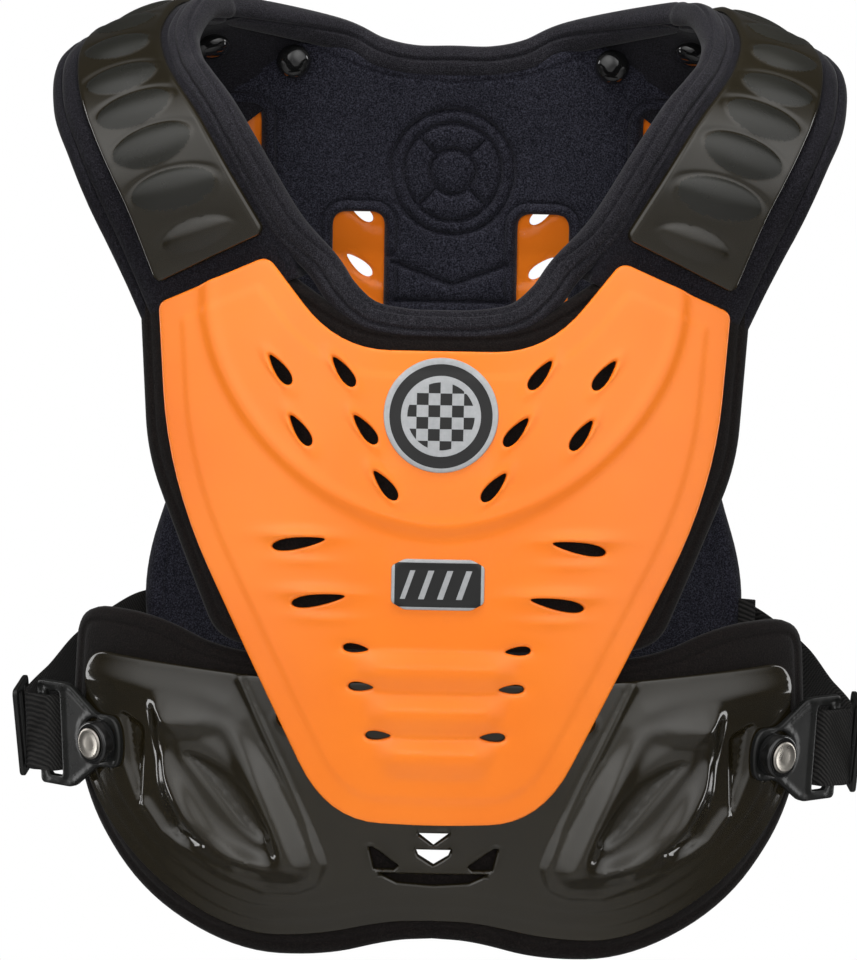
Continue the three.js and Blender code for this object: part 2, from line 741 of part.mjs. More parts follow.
function chestLiner() {
  return bentSheet({
    torso: FRONT,
    outline: chestLinerShape,
    outer: () => linerFace,
    inner: () => linerFace - LINER_WALL,
  });
}

// Shoulder arch stations from the chest to the back. across is a share of the half span, reach a share of
// the foot's distance in front or behind, fall a share of the drop to that foot, cap a share of the cap's
// half width and border a share of the pad's border. turn swings the outer edge rearward and drop lowers
// it, in degrees.
const ARCH_ROWS = [
  { across: 0.655, reach: -1.02, fall: 1.2, cap: 1.2, border: 1.2, turn: 22, drop: 16 },
  { across: 0.721, reach: -1.0, fall: 1.0, cap: 1.2, border: 1.25, turn: 22, drop: 16 },
  { across: 0.833, reach: -1.0, fall: 0.7, cap: 1.055, border: 1.43, turn: 20, drop: 16 },
  { across: 0.906, reach: -0.94, fall: 0.525, cap: 0.978, border: 1.31, turn: 17, drop: 16 },
  { across: 0.972, reach: -0.81, fall: 0.38, cap: 0.9, border: 1.16, turn: 14, drop: 16 },
  { across: 1.018, reach: -0.64, fall: 0.26, cap: 0.85, border: 1.12, turn: 10, drop: 16 },
  { across: 1.04, reach: -0.43, fall: 0.136, cap: 0.81, border: 1.06, turn: 8, drop: 18 },
  { across: 1.025, reach: -0.22, fall: 0.05, cap: 0.8, border: 1.02, turn: 6, drop: 20 },
  { across: 0.99, reach: 0.0, fall: 0.0, cap: 0.81, border: 1.0, turn: 4, drop: 21 },
  { across: 0.945, reach: 0.26, fall: 0.04, cap: 0.84, border: 1.0, turn: 0, drop: 19 },
  { across: 0.885, reach: 0.5, fall: 0.18, cap: 0.88, border: 1.0, turn: -6, drop: 17 },
  { across: 0.8, reach: 0.75, fall: 0.47, cap: 0.94, border: 1.0, turn: -14, drop: 14 },
  { across: 0.718, reach: 1.0, fall: 1.0, cap: 1.0, border: 1.0, turn: -24, drop: 14 },
  { across: 0.66, reach: 1.08, fall: 1.5, cap: 1.02, border: 1.0, turn: -26, drop: 14 },
];
const FRONT_FOOT_ROW = 1;
const LAST_BAND_ROW = 10; // where the neck band leaves the arch for the back liner's top
const ARCH_STEPS_PER_ROW = 2;

const archTopZ = PAD_WALL - ARCH_SINK;
const frontFootZ = chestTopZ - CLEARANCE * 5;
const rearFootZ = -ARCH_REAR_DROP;
const frontFootY = onTorso(FRONT, ARCH_FOOT_X, frontFootZ, linerFace).y;
const rearFootY = onTorso(BACK, ARCH_REAR_X, rearFootZ, linerFace).y;

function archPoint({ across, reach, fall }) {
  const footY = reach < 0 ? -frontFootY : rearFootY;
  const footZ = reach < 0 ? frontFootZ : rearFootZ;
  return new THREE.Vector3(across * ARCH_HALF_SPAN, reach * footY, archTopZ - fall * (archTopZ - footZ));
}

const archCurve = new THREE.CatmullRomCurve3(ARCH_ROWS.map(archPoint), false, "catmullrom", 0.5);

// Where an arch is and how it faces, at a row number that may lie between two rows
function archFrame(row) {
  const share = row / (ARCH_ROWS.length - 1);
  const below = ARCH_ROWS[Math.min(Math.floor(row), ARCH_ROWS.length - 2)];
  const above = ARCH_ROWS[ARCH_ROWS.indexOf(below) + 1];
  const part = row - ARCH_ROWS.indexOf(below);
  const mix = (column) => THREE.MathUtils.lerp(below[column], above[column], part);
  const [turn, drop] = [mix("turn"), mix("drop")].map(THREE.MathUtils.degToRad);
  const along = archCurve.getTangent(share);
  const level = new THREE.Vector3(
    Math.cos(turn) * Math.cos(drop),
    Math.sin(turn) * Math.cos(drop),
    -Math.sin(drop),
  );
  const outward = level.addScaledVector(along, -level.dot(along)).normalize();
  const up = outward.clone().cross(along);
  const cap = mix("cap") * CAP_HALF_WIDTH;
  return { at: archCurve.getPoint(share), along, outward, up, cap, border: mix("border") * PAD_OUTER_BORDER };
}

function archSection(frame, profile) {
  return profile.map(([out, lift]) =>
    frame.at.clone().addScaledVector(frame.outward, out).addScaledVector(frame.up, lift),
  );
}

function archLoft(firstRow, lastRow, profileOf) {
  const sections = [];
  for (let row = firstRow; row <= lastRow; row += 1 / ARCH_STEPS_PER_ROW) {
    const frame = archFrame(row);
    sections.push(archSection(frame, profileOf(frame)));
  }
  return loft(sections);
}

// The foam pad: flat where the cap sits, rounded at its outer edge, and open to the neck band inside
function padProfile({ cap, border }) {
  const outer = cap + border;
  const inner = -(cap + BAND_WIDTH / 3);
  const round = PAD_WALL / 3;
  return [
    [inner, -PAD_WALL],
    [inner, 0],
    [-cap, 0],
    [0, 0],
    [cap, 0],
    [outer - round, 0],
    [outer, -round],
    [outer, -2 * round],
    [outer - round, -PAD_WALL],
    [0, -PAD_WALL],
  ];
}

function capProfile({ cap }) {
  const edge = PLATE_WALL / 2;
  const top = SHELL_GAP + PLATE_WALL;
  return [
    [-cap, SHELL_GAP],
    [-cap, top - edge],
    [edge - cap, top],
    [cap - edge, top],
    [cap, top - edge],
    [cap, SHELL_GAP],
    [0, SHELL_GAP],
  ];
}

const CAP_ROWS = { first: 1, last: 11 };
const BUMP_ROWS = { first: 2.05, last: 8.6 };
const CRESCENT_ROW = 1.35;

// The cap over a shoulder, with a row of raised ovals and a smaller crescent below them
function shoulderCap() {
  let cap = solidOf(archLoft(CAP_ROWS.first, CAP_ROWS.last, capProfile));
  const bumps = Array.from({ length: BUMP_COUNT }, (_, i) => ({
    row: THREE.MathUtils.lerp(BUMP_ROWS.first, BUMP_ROWS.last, i / (BUMP_COUNT - 1)),
    size: 1,
  }));
  for (const { row, size } of [{ row: CRESCENT_ROW, size: 0.62 }, ...bumps]) {
    const { at, along, outward, up, cap: half } = archFrame(row);
    const length = size * BUMP_LENGTH * (half / CAP_HALF_WIDTH);
    const bump = new THREE.SphereGeometry(1, 10, 4)
      .rotateX(Math.PI / 2)
      .scale(length / 2, (size * BUMP_WIDTH) / 2, size * BUMP_HEIGHT)
      .applyMatrix4(new THREE.Matrix4().makeBasis(outward, along, up))
      .translate(...at.clone().addScaledVector(up, SHELL_GAP + PLATE_WALL));
    cap = cap.add(solidOf(bump));
  }
  return geometryOf(cap);
}

// The padded band that runs round the whole neck opening: along the neckline in front, up the inner edges
// of the shoulder pads and across the top of the back liner
const NECKLINE_FRONT = [
  { across: 0.0, down: 0.113 },
  { across: 0.137, down: 0.111 },
  { across: 0.266, down: 0.097 },
  { across: 0.36, down: 0.058 },
  { across: 0.432, down: 0.007 },
];
const NECKLINE_BACK = [
  { across: 0.39, down: -0.042 },
  { across: 0.25, down: -0.0125 },
  { across: 0.13, down: 0.0 },
  { across: 0.0, down: 0.0 },
];

function bandNodes() {
  const middle = linerFace - LINER_WALL / 2;
  const onLiner = (torso, width, height, topZ) => (row) => {
    const [x, z] = [row.across * (width / 2), topZ - row.down * height];
    return { at: onTorso(torso, x, z, middle), up: torsoNormal(torso, x, z) };
  };
  const front = NECKLINE_FRONT.map(onLiner(FRONT, CHEST_WIDTH, CHEST_HEIGHT, chestTopZ));
  const back = NECKLINE_BACK.map(onLiner(BACK, backWidth, backHeight, backTopZ));
  const arch = [];
  for (let row = FRONT_FOOT_ROW; row <= LAST_BAND_ROW; row++) {
    const { at, outward, up, cap } = archFrame(row);
    const edge = at.clone().addScaledVector(outward, -(cap + BAND_WIDTH / 2));
    arch.push({ at: edge.addScaledVector(up, -PAD_WALL / 2), up });
  }
  const right = [...front, ...arch, ...back];
  const flip = (v) => new THREE.Vector3(-v.x, v.y, v.z);
  const left = right
    .slice(1, -1)
    .reverse()
    .map(({ at, up }) => ({ at: flip(at), up: flip(up) }));
  return [...right, ...left];
}

function neckBand(growth) {
  const nodes = bandNodes();
  const path = new THREE.CatmullRomCurve3(nodes.map((n) => n.at), true, "catmullrom", 0.5);
  const facing = new THREE.CatmullRomCurve3(nodes.map((n) => n.up), true, "catmullrom", 0.5);
  const corners = 8;
  const sections = [];
  for (let i = 0; i < BAND_STEPS; i++) {
    const share = i / BAND_STEPS;
    const along = path.getTangent(share);
    const side = along.clone().cross(facing.getPoint(share)).normalize();
    const up = side.clone().cross(along);
    const section = [];
    for (let j = 0; j < corners; j++) {
      const angle = (-2 * Math.PI * (j + 0.5)) / corners;
      section.push(
        path
          .getPoint(share)
          .addScaledVector(side, (BAND_WIDTH / 2 + growth) * Math.cos(angle))
          .addScaledVector(up, (BAND_WALL / 2 + growth) * Math.sin(angle)),
      );
    }
    sections.push(section);
  }
  return loft(sections, true);
}

// The snap, the bracket on it and the elastic strap that leads round to the back liner
const snapFoot = onTorso(FRONT, SNAP_X, -SNAP_DROP, linerFace + CLEARANCE);
const snapNormal = torsoNormal(FRONT, SNAP_X, -SNAP_DROP);
const snapAcross = new THREE.Vector3(0, 0, 1).cross(snapNormal).normalize();
const snapUp = snapNormal.clone().cross(snapAcross);
const snapMatrix = new THREE.Matrix4().makeBasis(snapAcross, snapUp, snapNormal).setPosition(snapFoot);
const onBracket = (across, up, lift) => new THREE.Vector3(across, up, lift).applyMatrix4(snapMatrix);

const BRACKET_HOLE_RADIUS = 11;
const BRACKET_HOLE_OFFSET = 4.5;
const SNAP_POST_RADIUS = 5.6;

function bracket() {
  const slotEnd = BRACKET_LENGTH - STRAP_BAR;
  const slotStart = slotEnd - STRAP_SLOT;
  const tall = BRACKET_HEIGHT / 2;
  const outline = roundedShape([
    { x: -BRACKET_END_RADIUS, y: -BRACKET_END_RADIUS, round: BRACKET_END_RADIUS },
    { x: BRACKET_END_RADIUS / 3, y: -BRACKET_END_RADIUS, round: 4 },
    { x: slotStart - 7, y: -tall, round: 4 },
    { x: BRACKET_LENGTH, y: -tall, round: 3 },
    { x: BRACKET_LENGTH, y: tall, round: 3 },
    { x: slotStart - 7, y: tall, round: 4 },
    { x: BRACKET_END_RADIUS / 3, y: BRACKET_END_RADIUS, round: 4 },
    { x: -BRACKET_END_RADIUS, y: BRACKET_END_RADIUS, round: BRACKET_END_RADIUS },
  ]);
  const slot = (STRAP_WIDTH + 4) / 2;
  outline.holes.push(
    roundedShape([
      { x: slotStart, y: -slot, round: 2 },
      { x: slotEnd, y: -slot, round: 2 },
      { x: slotEnd, y: slot, round: 2 },
      { x: slotStart, y: slot, round: 2 },
    ]),
  );
  outline.holes.push(new THREE.Path().absarc(BRACKET_HOLE_OFFSET, 0, BRACKET_HOLE_RADIUS, 0, 2 * Math.PI));
  const settings = { depth: BRACKET_WALL, bevelEnabled: false, curveSegments: CURVE_SEGMENTS * 2 };
  return geometryOf(solidOf(new THREE.ExtrudeGeometry(outline, settings).applyMatrix4(snapMatrix)));
}

// A turned piece on the snap's axis, from pairs of radius and height above the bracket's inner face
function turnedOnSnap(profile) {
  const points = profile.map(([radius, height]) => new THREE.Vector2(radius, height));
  return new THREE.LatheGeometry(points, 20).rotateX(Math.PI / 2).applyMatrix4(snapMatrix);
}

function snapRing() {
  const seat = BRACKET_WALL + CLEARANCE;
  return turnedOnSnap([
    [0, 0],
    [SNAP_POST_RADIUS, 0],
    [SNAP_POST_RADIUS, seat],
    [SNAP_RADIUS, seat],
    [SNAP_RADIUS, seat + SNAP_HEIGHT / 2],
    [SNAP_RADIUS - 1.2, seat + SNAP_HEIGHT - 0.8],
    [SNAP_RADIUS - 2.2, seat + SNAP_HEIGHT],
    [0, seat + SNAP_HEIGHT],
  ]);
}

function snapCap() {
  const seat = BRACKET_WALL + 2 * CLEARANCE + SNAP_HEIGHT;
  return turnedOnSnap([
    [0, seat],
    [SNAP_CAP_RADIUS, seat],
    [SNAP_CAP_RADIUS, seat + SNAP_CAP_HEIGHT / 2],
    [SNAP_CAP_RADIUS - 0.6, seat + SNAP_CAP_HEIGHT],
    [0, seat + SNAP_CAP_HEIGHT],
  ]);
}

// The strap's way: up through the bracket's slot, over its bar, round the wearer's side and onto the outer
// face of the back liner
const STRAP_END_X = 128;
const STRAP_END_DROP = 296;

function strapCurve() {
  const onBack = (x, z, off = 0) => onTorso(BACK, x, z, linerFace + SHELL_GAP + STRAP_WALL / 2 + off);
  const overBar = BRACKET_WALL + CLEARANCE + STRAP_WALL / 2 + 0.5;
  const slotMiddle = BRACKET_LENGTH - STRAP_BAR - STRAP_SLOT / 2;
  const endZ = -STRAP_END_DROP;
  const leave = onBack(STRAP_END_X + STRAP_LEAD, endZ, SHELL_GAP);
  const bar = onBracket(BRACKET_LENGTH - STRAP_BAR / 2, 0, overBar);
  const past = onBracket(BRACKET_LENGTH + STRAP_LIP, 0, overBar - 1);
  return new THREE.CatmullRomCurve3(
    [
      onBracket(slotMiddle - 3, 0, -6),
      onBracket(slotMiddle - 1, 0, BRACKET_WALL / 2 - 2),
      onBracket(slotMiddle + 1.5, 0, overBar - 1),
      bar,
      past,
      past.clone().lerp(leave, 0.27).add(new THREE.Vector3(0.5 * STRAP_BOW, 0, 0)),
      past.clone().lerp(leave, 0.55).add(new THREE.Vector3(STRAP_BOW, 0, 0)),
      past.clone().lerp(leave, 0.8).add(new THREE.Vector3(0.8 * STRAP_BOW, 0, 0)),
      leave,
      onBack(STRAP_END_X + 0.46 * STRAP_LEAD, endZ),
      onBack(STRAP_END_X, endZ),
    ],
    false,
    "centripetal",
  );
}

const strapEndNormal = torsoNormal(BACK, STRAP_END_X, -STRAP_END_DROP);
const strapEndUp = new THREE.Vector3(0, 0, 1).projectOnPlane(strapEndNormal).normalize();

function strapFrame(share) {
  const curve = strapCurve();
  const along = curve.getTangent(share);
  const rise = snapUp.clone().lerp(strapEndUp, Math.min(1, share * 1.5));
  const tall = rise.addScaledVector(along, -rise.dot(along)).normalize();
  return { at: curve.getPoint(share), along, tall, out: along.clone().cross(tall) };
}

function sideStrap() {
  const sections = [];
  for (let i = 0; i <= STRAP_STEPS; i++) {
    const { at, tall, out } = strapFrame(i / STRAP_STEPS);
    const corner = (up, lift) =>
      at
        .clone()
        .addScaledVector(tall, (up * STRAP_WIDTH) / 2)
        .addScaledVector(out, (lift * STRAP_WALL) / 2);
    sections.push([corner(-1, -1), corner(1, -1), corner(1, 1), corner(-1, 1)]);
  }
  return loft(sections);
}

// The ladder buckle that lies on the strap just behind the bracket
const BUCKLE_SHARE = 0.42;

function ladderBuckle() {
  const { at, along, tall, out } = strapFrame(BUCKLE_SHARE);
  const [long, high] = [BUCKLE_LENGTH / 2, STRAP_WIDTH / 2 + BUCKLE_BAR + 1];
  const box = (left, right, half, round) =>
    roundedShape([
      { x: left, y: -half, round },
      { x: right, y: -half, round },
      { x: right, y: half, round },
      { x: left, y: half, round },
    ]);
  const outline = box(-long, long, high, BUCKLE_BAR);
  outline.holes.push(box(-long + BUCKLE_BAR, -BUCKLE_BAR / 2, STRAP_WIDTH / 2 + 1, 1));
  outline.holes.push(box(BUCKLE_BAR / 2, long - BUCKLE_BAR, STRAP_WIDTH / 2 + 1, 1));
  const seat = at.clone().addScaledVector(out, STRAP_WALL / 2 + CLEARANCE);
  const frame = new THREE.Matrix4().makeBasis(along, tall, out).setPosition(seat);
  const settings = { depth: BUCKLE_WALL, bevelEnabled: false, curveSegments: CURVE_SEGMENTS };
  return geometryOf(solidOf(new THREE.ExtrudeGeometry(outline, settings).applyMatrix4(frame)));
}

// Round-headed knobs: one on the back liner's upper corner and one under the rear of the shoulder pad
const KNOB = { x: 87, drop: 6, row: 10, inward: 14, padShare: 0.6 };

function knob(seat, outward, tall = 1) {
  const profile = [
    [0, 0],
    [0.62, 0],
    [0.62, 0.22],
    [0.92, 0.42],
    [1, 0.8],
    [0.86, 1.25],
    [0.5, 1.55],
    [0, 1.62],
  ].map(([radius, height]) => new THREE.Vector2(radius * KNOB_RADIUS, height * tall * KNOB_RADIUS));
  const turn = new THREE.Quaternion().setFromUnitVectors(new THREE.Vector3(0, 1, 0), outward);
  return new THREE.LatheGeometry(profile, 14).applyQuaternion(turn).translate(...seat);
}

function linerKnob() {
  const inward = torsoNormal(BACK, KNOB.x, -KNOB.drop).negate();
  return knob(onTorso(BACK, KNOB.x, -KNOB.drop, linerFace - LINER_WALL - CLEARANCE), inward);
}

function padKnob() {
  const { at, outward, up } = archFrame(KNOB.row);
  const drop = PAD_WALL + 2 * SHELL_GAP; // the pad's underside is hollow there
  const seat = at.addScaledVector(up, -drop).addScaledVector(outward, -KNOB.inward);
  return knob(seat, up.clone().negate(), KNOB.padShare);
}

// A plain tab in the back liner's side seam, which lies at this share of the liner's half width there
const LABEL_SEAM = 0.985;
const LABEL_DROP = 293.5;

function sideLabel() {
  const z = -LABEL_DROP;
  const seamX = LABEL_SEAM * (backWidth / 2);
  const seam = onTorso(BACK, seamX, z, linerFace - LINER_WALL / 2);
  const up = new THREE.Vector3(0, 0, 1);
  const facing = torsoNormal(BACK, seamX, z).projectOnPlane(up).normalize();
  const away = facing.clone().cross(up);
  return new THREE.BoxGeometry(LABEL_WIDTH, LABEL_WALL, LABEL_HEIGHT)
    .translate(LABEL_WIDTH / 2 + CLEARANCE, 0, 0)
    .applyMatrix4(new THREE.Matrix4().makeBasis(away, facing, up).setPosition(seam));
}

// Materials
const finish = (color, roughness, metalness = 0) =>
  new THREE.MeshStandardMaterial({ color, roughness, metalness });
const orangePlastic = finish(0xf97a2c, 0.18);
const smokePlastic = finish(0x2b2a26, 0.12);
const blackFabric = finish(0x1b1a1e, 0.95);
const blackPlastic = finish(0x1d1e1c, 0.3);
const nickel = finish(0xd8d2c8, 0.25, 1);
const silverFoil = finish(0xc4c6c9, 0.35, 0.6);
const blackWebbing = finish(0x151413, 0.9);

const garment = new THREE.Group();
const show = (name, geometry, material) => {
  const mesh = new THREE.Mesh(geometry, material);
  mesh.name = name;
  garment.add(mesh);
};
const showPair = (name, geometry, material) => {
  show(`${name}_right`, geometry, material);
  show(`${name}_left`, mirrored(geometry), material);
};

// Soft pieces are cut back where they meet, so that each pair keeps its clearance
const bandRoom = solidOf(neckBand(CLEARANCE));
const linerRoom = ({ torso, outline }) =>
  solidOf(
    bentSheet({
      torso,
      outline: grownShape(outline, CLEARANCE),
      outer: () => linerFace + REACH / 4,
      inner: () => linerFace - LINER_WALL - REACH / 4,
    }),
  );
const chestRoom = linerRoom({ torso: FRONT, outline: chestLinerShape });
const backRoom = linerRoom({ torso: BACK, outline: backLinerShape });
const pad = archLoft(0, ARCH_ROWS.length - 1, padProfile);
const fittedPad = (geometry) =>
  geometryOf(solidOf(geometry).subtract(bandRoom).subtract(chestRoom).subtract(backRoom));

show("chest_plate", chestPlate(), orangePlastic);
show("round_badge", roundBadge(), silverFoil);
show("lower_badge", lowerBadge(), silverFoil);
show("chest_liner", geometryOf(solidOf(chestLiner()).subtract(bandRoom)), blackFabric);
show("belly_plate", bellyPlate(), smokePlastic);
show("belly_liner", bellyLiner(), blackFabric);
show("back_plate", backPlate(), orangePlastic);
show("back_liner", geometryOf(solidOf(backLiner()).subtract(bandRoom)), blackFabric);
show("neck_band", neckBand(0), blackFabric);
show("shoulder_pad_right", fittedPad(pad), blackFabric);
show("shoulder_pad_left", fittedPad(mirrored(pad)), blackFabric);
showPair("shoulder_cap", shoulderCap(), smokePlastic);
showPair("strap_bracket", bracket(), blackPlastic);
showPair("snap_ring", geometryOf(solidOf(snapRing())), blackPlastic);
showPair("snap_cap", geometryOf(solidOf(snapCap())), nickel);
showPair("side_strap", sideStrap(), blackWebbing);
showPair("ladder_buckle", ladderBuckle(), blackPlastic);
showPair("liner_knob", geometryOf(solidOf(linerKnob())), blackPlastic);
showPair("pad_knob", geometryOf(solidOf(padKnob())), blackPlastic);
show("side_label", sideLabel(), blackWebbing);

export default garment;
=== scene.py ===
# A motocross roost deflector in a plain studio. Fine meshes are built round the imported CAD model, from the
# same named sizes. Shapes are worked out in millimetres and turned into metres when a mesh is made.
# +Z is up, -Y is the wearer's front, +X is the right-hand side of the photograph.
import math

import bpy
import numpy as np
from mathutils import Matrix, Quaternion, Vector
from mathutils.geometry import delaunay_2d_cdt
from mathutils.kdtree import KDTree


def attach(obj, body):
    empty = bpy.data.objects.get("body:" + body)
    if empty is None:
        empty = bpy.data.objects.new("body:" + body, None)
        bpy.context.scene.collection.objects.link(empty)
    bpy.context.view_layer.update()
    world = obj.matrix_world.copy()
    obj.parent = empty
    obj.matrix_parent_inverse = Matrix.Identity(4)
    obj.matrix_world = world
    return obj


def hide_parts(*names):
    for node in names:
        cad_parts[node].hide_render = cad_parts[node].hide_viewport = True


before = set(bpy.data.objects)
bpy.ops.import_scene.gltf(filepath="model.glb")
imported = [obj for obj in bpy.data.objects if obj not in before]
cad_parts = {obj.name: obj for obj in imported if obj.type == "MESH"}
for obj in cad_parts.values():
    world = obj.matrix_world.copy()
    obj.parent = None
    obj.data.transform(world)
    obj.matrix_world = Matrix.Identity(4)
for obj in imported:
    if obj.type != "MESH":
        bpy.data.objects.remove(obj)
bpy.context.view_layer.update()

MM = 0.001

# Sizes shared with the CAD model
PLATE_WALL = 3
LINER_WALL = 12
BELLY_LINER_WALL = 10
PAD_WALL = 12
SHELL_GAP = 0.8
CLEARANCE = 0.4
GARMENT_DROP = 435
TORSO_HALF_WIDTH = 198
CHEST_WIDTH, CHEST_HEIGHT, CHEST_TOP = 278, 269, -104
CHEST_LINER_WIDTH, CHEST_LINER_HEIGHT = 294, 186
BELLY_WIDTH, BELLY_HEIGHT, BELLY_TOP = 346, 116, -302
BACK_WIDTH, BACK_HEIGHT, BACK_TOP = 320, 318, -7
LINER_FACE = -(PLATE_WALL + SHELL_GAP)

FRONT = {
    "side": -1,
    "centre": -20,
    "depth": 125,
    "down": (0.15, 0.27, 0.45, 0.62, 0.76, 0.88, 1.02),
    "widths": (0.91, 0.93, 0.96, 1.0, 1.0, 0.965, 0.9),
    "depths": (0.7, 0.81, 0.93, 0.99, 1.0, 0.98, 0.92),
}
BACK = {
    "side": 1,
    "centre": 10,
    "depth": 96,
    "down": (-0.05, 0.12, 0.3, 0.5, 0.68, 0.8),
    "widths": (0.94, 0.96, 0.97, 0.96, 0.96, 0.96),
    "depths": (0.8, 0.96, 1.04, 0.98, 0.9, 0.92),
}


def smooth_step(low, high, x):
    t = np.clip((x - low) / (high - low), 0, 1)
    return t * t * (3 - 2 * t)


def smooth_table(keys, values, at):
    """A smooth curve through a table's rows."""
    keys, values = np.asarray(keys, float), np.asarray(values, float)
    last = len(keys) - 1
    rows = np.arange(last + 1)
    before, after = np.maximum(rows - 1, 0), np.minimum(rows + 1, last)
    slope = (values[after] - values[before]) / (keys[after] - keys[before])
    at = np.clip(at, keys[0], keys[last])
    i = np.clip(np.searchsorted(keys, at, side="right") - 1, 0, last - 1)
    span = keys[i + 1] - keys[i]
    t = (at - keys[i]) / span
    rise = values[i + 1] - values[i]
    start, end = slope[i] * span, slope[i + 1] * span
    return values[i] + start * t + (3 * rise - 2 * start - end) * t**2 + (start + end - 2 * rise) * t**3


def torso_y(torso, x, z):
    down = -z / GARMENT_DROP
    half_width = smooth_table(torso["down"], torso["widths"], down) * TORSO_HALF_WIDTH
    depth = smooth_table(torso["down"], torso["depths"], down) * torso["depth"]
    share = np.minimum(np.abs(x) / half_width, 0.97)
    return torso["centre"] + torso["side"] * depth * np.sqrt(1 - share**2)


def unit(v):
    return v / np.linalg.norm(v, axis=-1, keepdims=True)


def torso_normal(torso, x, z):
    h = 0.5
    slope_x = (torso_y(torso, x + h, z) - torso_y(torso, x - h, z)) / (2 * h)
    slope_z = (torso_y(torso, x, z + h) - torso_y(torso, x, z - h)) / (2 * h)
    return torso["side"] * unit(np.stack([-slope_x, np.ones_like(slope_x), -slope_z], -1))


def on_torso(torso, x, z, lift):
    x, z, lift = np.broadcast_arrays(np.asarray(x, float), np.asarray(z, float), np.asarray(lift, float))
    return np.stack([x, torso_y(torso, x, z), z], -1) + torso_normal(torso, x, z) * lift[..., None]


# Outlines in the front view
def rounded(corners, segments=8):
    """A closed outline from rows of x, y and rounding length."""
    corners = [np.array(c, float) for c in corners]
    points = []
    for i, corner in enumerate(corners):
        here = corner[:2]
        before, after = corners[i - 1][:2], corners[(i + 1) % len(corners)][:2]
        into, out = np.linalg.norm(before - here), np.linalg.norm(after - here)
        start = here + (before - here) * min(corner[2], into * 0.499) / into
        end = here + (after - here) * min(corner[2], out * 0.499) / out
        if corner[2] <= 0:
            points.append(here)
            continue
        for t in np.linspace(0, 1, segments + 1):
            points.append((1 - t) ** 2 * start + 2 * t * (1 - t) * here + t**2 * end)
    return np.array(points)


def symmetric(half, width, height, top):
    """A symmetric outline from its right-hand corners, listed from the top middle to the bottom middle."""
    right = [(a * width / 2, top - d * height, r * width) for a, d, r in half]
    left = [(-x, z, r) for x, z, r in reversed(right) if x > 0]
    return rounded((right + left)[::-1])


def divided(loop, step):
    """The loop with its long edges divided."""
    points = []
    for a, b in zip(loop, np.roll(loop, -1, 0)):
        count = max(1, math.ceil(np.linalg.norm(b - a) / step))
        points.extend(a + (b - a) * k / count for k in range(count))
    kept = [points[0]]
    for p in points[1:]:
        if np.linalg.norm(p - kept[-1]) > 0.05:
            kept.append(p)
    if np.linalg.norm(kept[0] - kept[-1]) < 0.05:
        kept.pop()
    return np.array(kept)


def moved_in(loop, distance):
    """The loop moved to its inner side, or outward where the distance is below nought."""
    area = np.sum(loop[:, 0] * np.roll(loop[:, 1], -1) - np.roll(loop[:, 0], -1) * loop[:, 1])
    turn = 1 if area > 0 else -1
    edge = unit(np.roll(loop, -1, 0) - loop)
    normal = turn * np.stack([-edge[:, 1], edge[:, 0]], 1)
    middle = unit(normal + np.roll(normal, 1, 0))
    stretch = np.minimum(1 / np.maximum(np.sum(middle * normal, 1), 0.3), 1.6)
    return loop + middle * (distance * stretch)[:, None]


def distance_to(line, points, closed=True):
    best = np.full(len(points), np.inf)
    ends = np.roll(line, -1, 0) if closed else line[1:]
    for a, b in zip(line, ends):
        edge = b - a
        t = np.clip(((points - a) @ edge) / max(edge @ edge, 1e-12), 0, 1)
        best = np.minimum(best, np.linalg.norm(points - a - t[:, None] * edge, axis=1))
    return best


def inside(loop, points):
    x, y = points.T
    found = np.zeros(len(points), bool)
    for (ax, ay), (bx, by) in zip(loop, np.roll(loop, -1, 0)):
        if ay != by:
            found ^= ((ay > y) != (by > y)) & (x < ax + (y - ay) / (by - ay) * (bx - ax))
    return found


def depth_in(loop, points):
    return np.where(inside(loop, points), 1, -1) * distance_to(loop, points)


def drop_shape(x, z, length, width, tilt, sides=28):
    """A hole that is round at one end and pointed at the other, with the point along its tilt."""
    angle = np.linspace(0, 2 * np.pi, sides, endpoint=False)
    along = length / 2 * np.cos(angle)
    off = width / 2 * np.sin(angle) * (1.15 - 0.45 * np.cos(angle))
    return np.stack([x + along * np.cos(tilt) - off * np.sin(tilt), z + along * np.sin(tilt) + off * np.cos(tilt)], 1)


def paired_drops(table, width, height, top, length, thickness):
    drops = []
    for across, down, tilt in table:
        x, z, angle = across * width / 2, top - down * height, math.radians(tilt)
        drops += [(x, z, length, thickness, angle), (-x, z, length, thickness, math.pi - angle)]
    return drops


# Meshes
def make_piece(name, points, faces, materials, slot, sharp=45, face_kinds=None, pad_fill=None):
    """A piece from points in millimetres that stands for the CAD node of the same name."""
    mesh = bpy.data.meshes.new(name + "_mesh")
    mesh.from_pydata((np.asarray(points) * MM).tolist(), [], [list(map(int, f)) for f in faces])
    mesh.validate()
    corners = np.array([[mesh.vertices[v].co for v in t.vertices] for t in triangles_of(mesh)])
    volume = np.sum(np.einsum("ij,ij->i", corners[:, 0], np.cross(corners[:, 1], corners[:, 2])))
    if volume < 0:
        mesh.flip_normals()
    mesh.shade_smooth()
    mesh.set_sharp_from_angle(angle=math.radians(sharp))
    piece = bpy.data.objects.new(name + "_fine", mesh)
    bpy.context.scene.collection.objects.link(piece)
    for material in materials:
        mesh.materials.append(material)
    if face_kinds is not None:
        mesh.polygons.foreach_set("material_index", np.asarray(face_kinds, np.int32))
    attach(piece, "root")
    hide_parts(name)
    return piece


def triangles_of(mesh):
    mesh.calc_loop_triangles()
    return mesh.loop_triangles


def spaced(points, placed, least):
    """The points that lie further than this from all points placed before."""
    tree = KDTree(len(placed))
    for k, (x, y) in enumerate(placed):
        tree.insert((x, y, 0), k)
    tree.balance()
    return np.array([p for p in points if tree.find((p[0], p[1], 0))[2] > least]).reshape(-1, 2)


